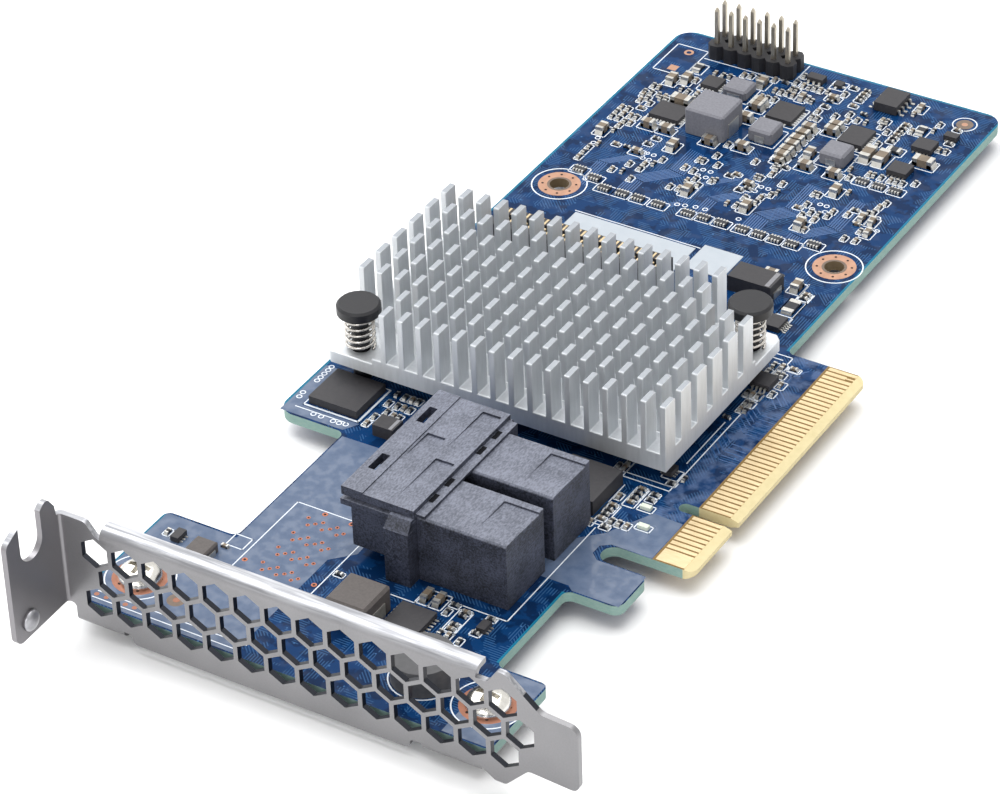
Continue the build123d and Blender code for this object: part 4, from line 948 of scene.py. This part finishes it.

# Bracket's ear pip: a small dome pressed out of the ear's inner face, painted brighter as a
# highlight.
def dome(centre, radius, height, circles=6, sides=24):
    """Cap that bulges along x, with a = k / circles * 90 degrees for circle k.

    Circle k has radius * sin a and stands height * cos a out of the sheet.
    """
    angle = np.pi / 2 * np.arange(1, circles + 1) / circles
    side = 2 * np.pi * np.arange(sides) / sides
    points = np.stack([
        np.broadcast_to((height * np.cos(angle))[:, None], (circles, sides)),
        radius * np.sin(angle)[:, None] * np.cos(side),
        radius * np.sin(angle)[:, None] * np.sin(side)], -1).reshape(-1, 3)
    points = np.concatenate([[(height, 0.0, 0.0)], points]) + centre
    here, ahead = np.arange(sides), (np.arange(sides) + 1) % sides
    inner = 1 + np.arange(circles - 1)[:, None] * sides
    faces = np.stack([inner + here, inner + sides + here, inner + sides + ahead, inner + ahead], -1)
    tip = np.stack([np.zeros(sides, int), 1 + here, 1 + ahead], 1)
    back = (1 + (circles - 1) * sides + here[::-1]).tolist()
    return points, faces.reshape(-1, 4).tolist() + tip.tolist() + [back]


# Pip colour: a painted highlight, paler than the ear round it.
pip_highlight_finish = mottled(
    "pip_painted_highlight", {"Metallic": 0.8}, 0.5, (150, 150, 154), (182, 182, 186), 0.26, 0.1)
pip_centre = (-69.5, -66.83, 3.3)
pip_radius = 1.6
pip_height = 0.75
pip = add_piece("ear_pip", dome(pip_centre, pip_radius, pip_height), pip_highlight_finish)
pip.data.shade_smooth()
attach(pip, "root")

# Bracket's screws: domed steel heads with bright nickel plate, driven down through the board
# into the bracket's feet.
screw_finish = mottled(
    "bright_nickel", {"Metallic": 1.0}, 0.8, (206, 202, 194), (240, 238, 232), 0.16, 0.1)
screws = merged_copy("bracket_screws", "domed_screws", screw_finish, 40)
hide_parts("bracket_screws")
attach(screws, "root")


# Paper labels: two rectangles of pale matt stock with a gummed back, stuck on the board behind
# the heatsink.
paper_finish = mottled(
    "label_paper", {"Specular IOR Level": 0.3}, 2.0,
    (166, 174, 182), (182, 188, 194), 0.5, 0.1, detail=3.0)
dress(paper_finish, "board_labels")


# Floor: a wide white sheet just under the card, which keeps its soft shadow
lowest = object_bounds()[0].z - 0.0002
floor_mesh = bpy.data.meshes.new("floor")
floor_reach = 3.0
floor_mesh.from_pydata(
    [(-floor_reach, -floor_reach, lowest), (floor_reach, -floor_reach, lowest),
     (floor_reach, floor_reach, lowest), (-floor_reach, floor_reach, lowest)], [], [(0, 1, 2, 3)])
floor = bpy.data.objects.new("floor", floor_mesh)
bpy.context.scene.collection.objects.link(floor)
floor_finish = Surface("white_floor", {"Specular IOR Level": 0.0, "Roughness": 1.0})
floor_finish.feed("Base Color", floor_finish.place.noise(40.0).mix(
    (0.93, 0.93, 0.93, 1), (0.95, 0.95, 0.95, 1)))
floor_mesh.materials.append(floor_finish.material)


# World: white to the camera and in reflections, and a softer grey as a light
ambient = 0.66
world = bpy.data.worlds.new("studio")
world.use_nodes = True
bpy.context.scene.world = world
sky = world.node_tree.nodes["Background"]
light_path = world.node_tree.nodes.new("ShaderNodeLightPath")
seen = Wire(world.node_tree, light_path.outputs["Is Camera Ray"])
for ray in ("Is Glossy Ray", "Is Transmission Ray"):
    seen = seen.either(Wire(world.node_tree, light_path.outputs[ray]))
strength = seen * (1 - ambient) + ambient
world.node_tree.links.new(strength.socket, sky.inputs["Strength"])
sky.inputs["Color"].default_value = (1, 1, 1, 1)


# Lamps: a broad softbox above the left far side, a smaller key from the far left and a low
# fill on the bracket's face
card_middle = Vector((-0.03, 0.02, 0.0))
lamps = [
    ("overhead", (-0.15, 0.15, 0.9), 1.1, 9.6),
    ("key", (-0.8, 0.2, 0.6), 0.7, 4.0),
    ("front_fill", (0.1, -0.9, 0.35), 0.5, 3.0),
]
for name, place, side, power in lamps:
    lamp = bpy.data.lights.new(name, "AREA")
    lamp.size = side
    lamp.energy = power
    stand = bpy.data.objects.new(name, lamp)
    stand.location = place
    stand.rotation_euler = (card_middle - Vector(place)).to_track_quat("-Z", "Y").to_euler()
    bpy.context.scene.collection.objects.link(stand)


# Camera: a long lens from the near right corner, at the place that the photograph's
# perspective gives
camera = bpy.data.cameras.new("camera")
camera.lens = 153.99
camera.sensor_width = 36.0
camera.shift_x = 0.00313
camera.shift_y = -0.0015
camera.clip_start = 0.01
camera.clip_end = 20.0
viewpoint = bpy.data.objects.new("camera", camera)
viewpoint.location = (0.22133, -0.40661, 0.35665)
viewpoint.rotation_euler = [math.radians(angle) for angle in (54.1562, 1.7838, 31.2150)]
bpy.context.scene.collection.objects.link(viewpoint)
bpy.context.scene.camera = viewpoint
bpy.context.scene.view_settings.view_transform = "Standard"
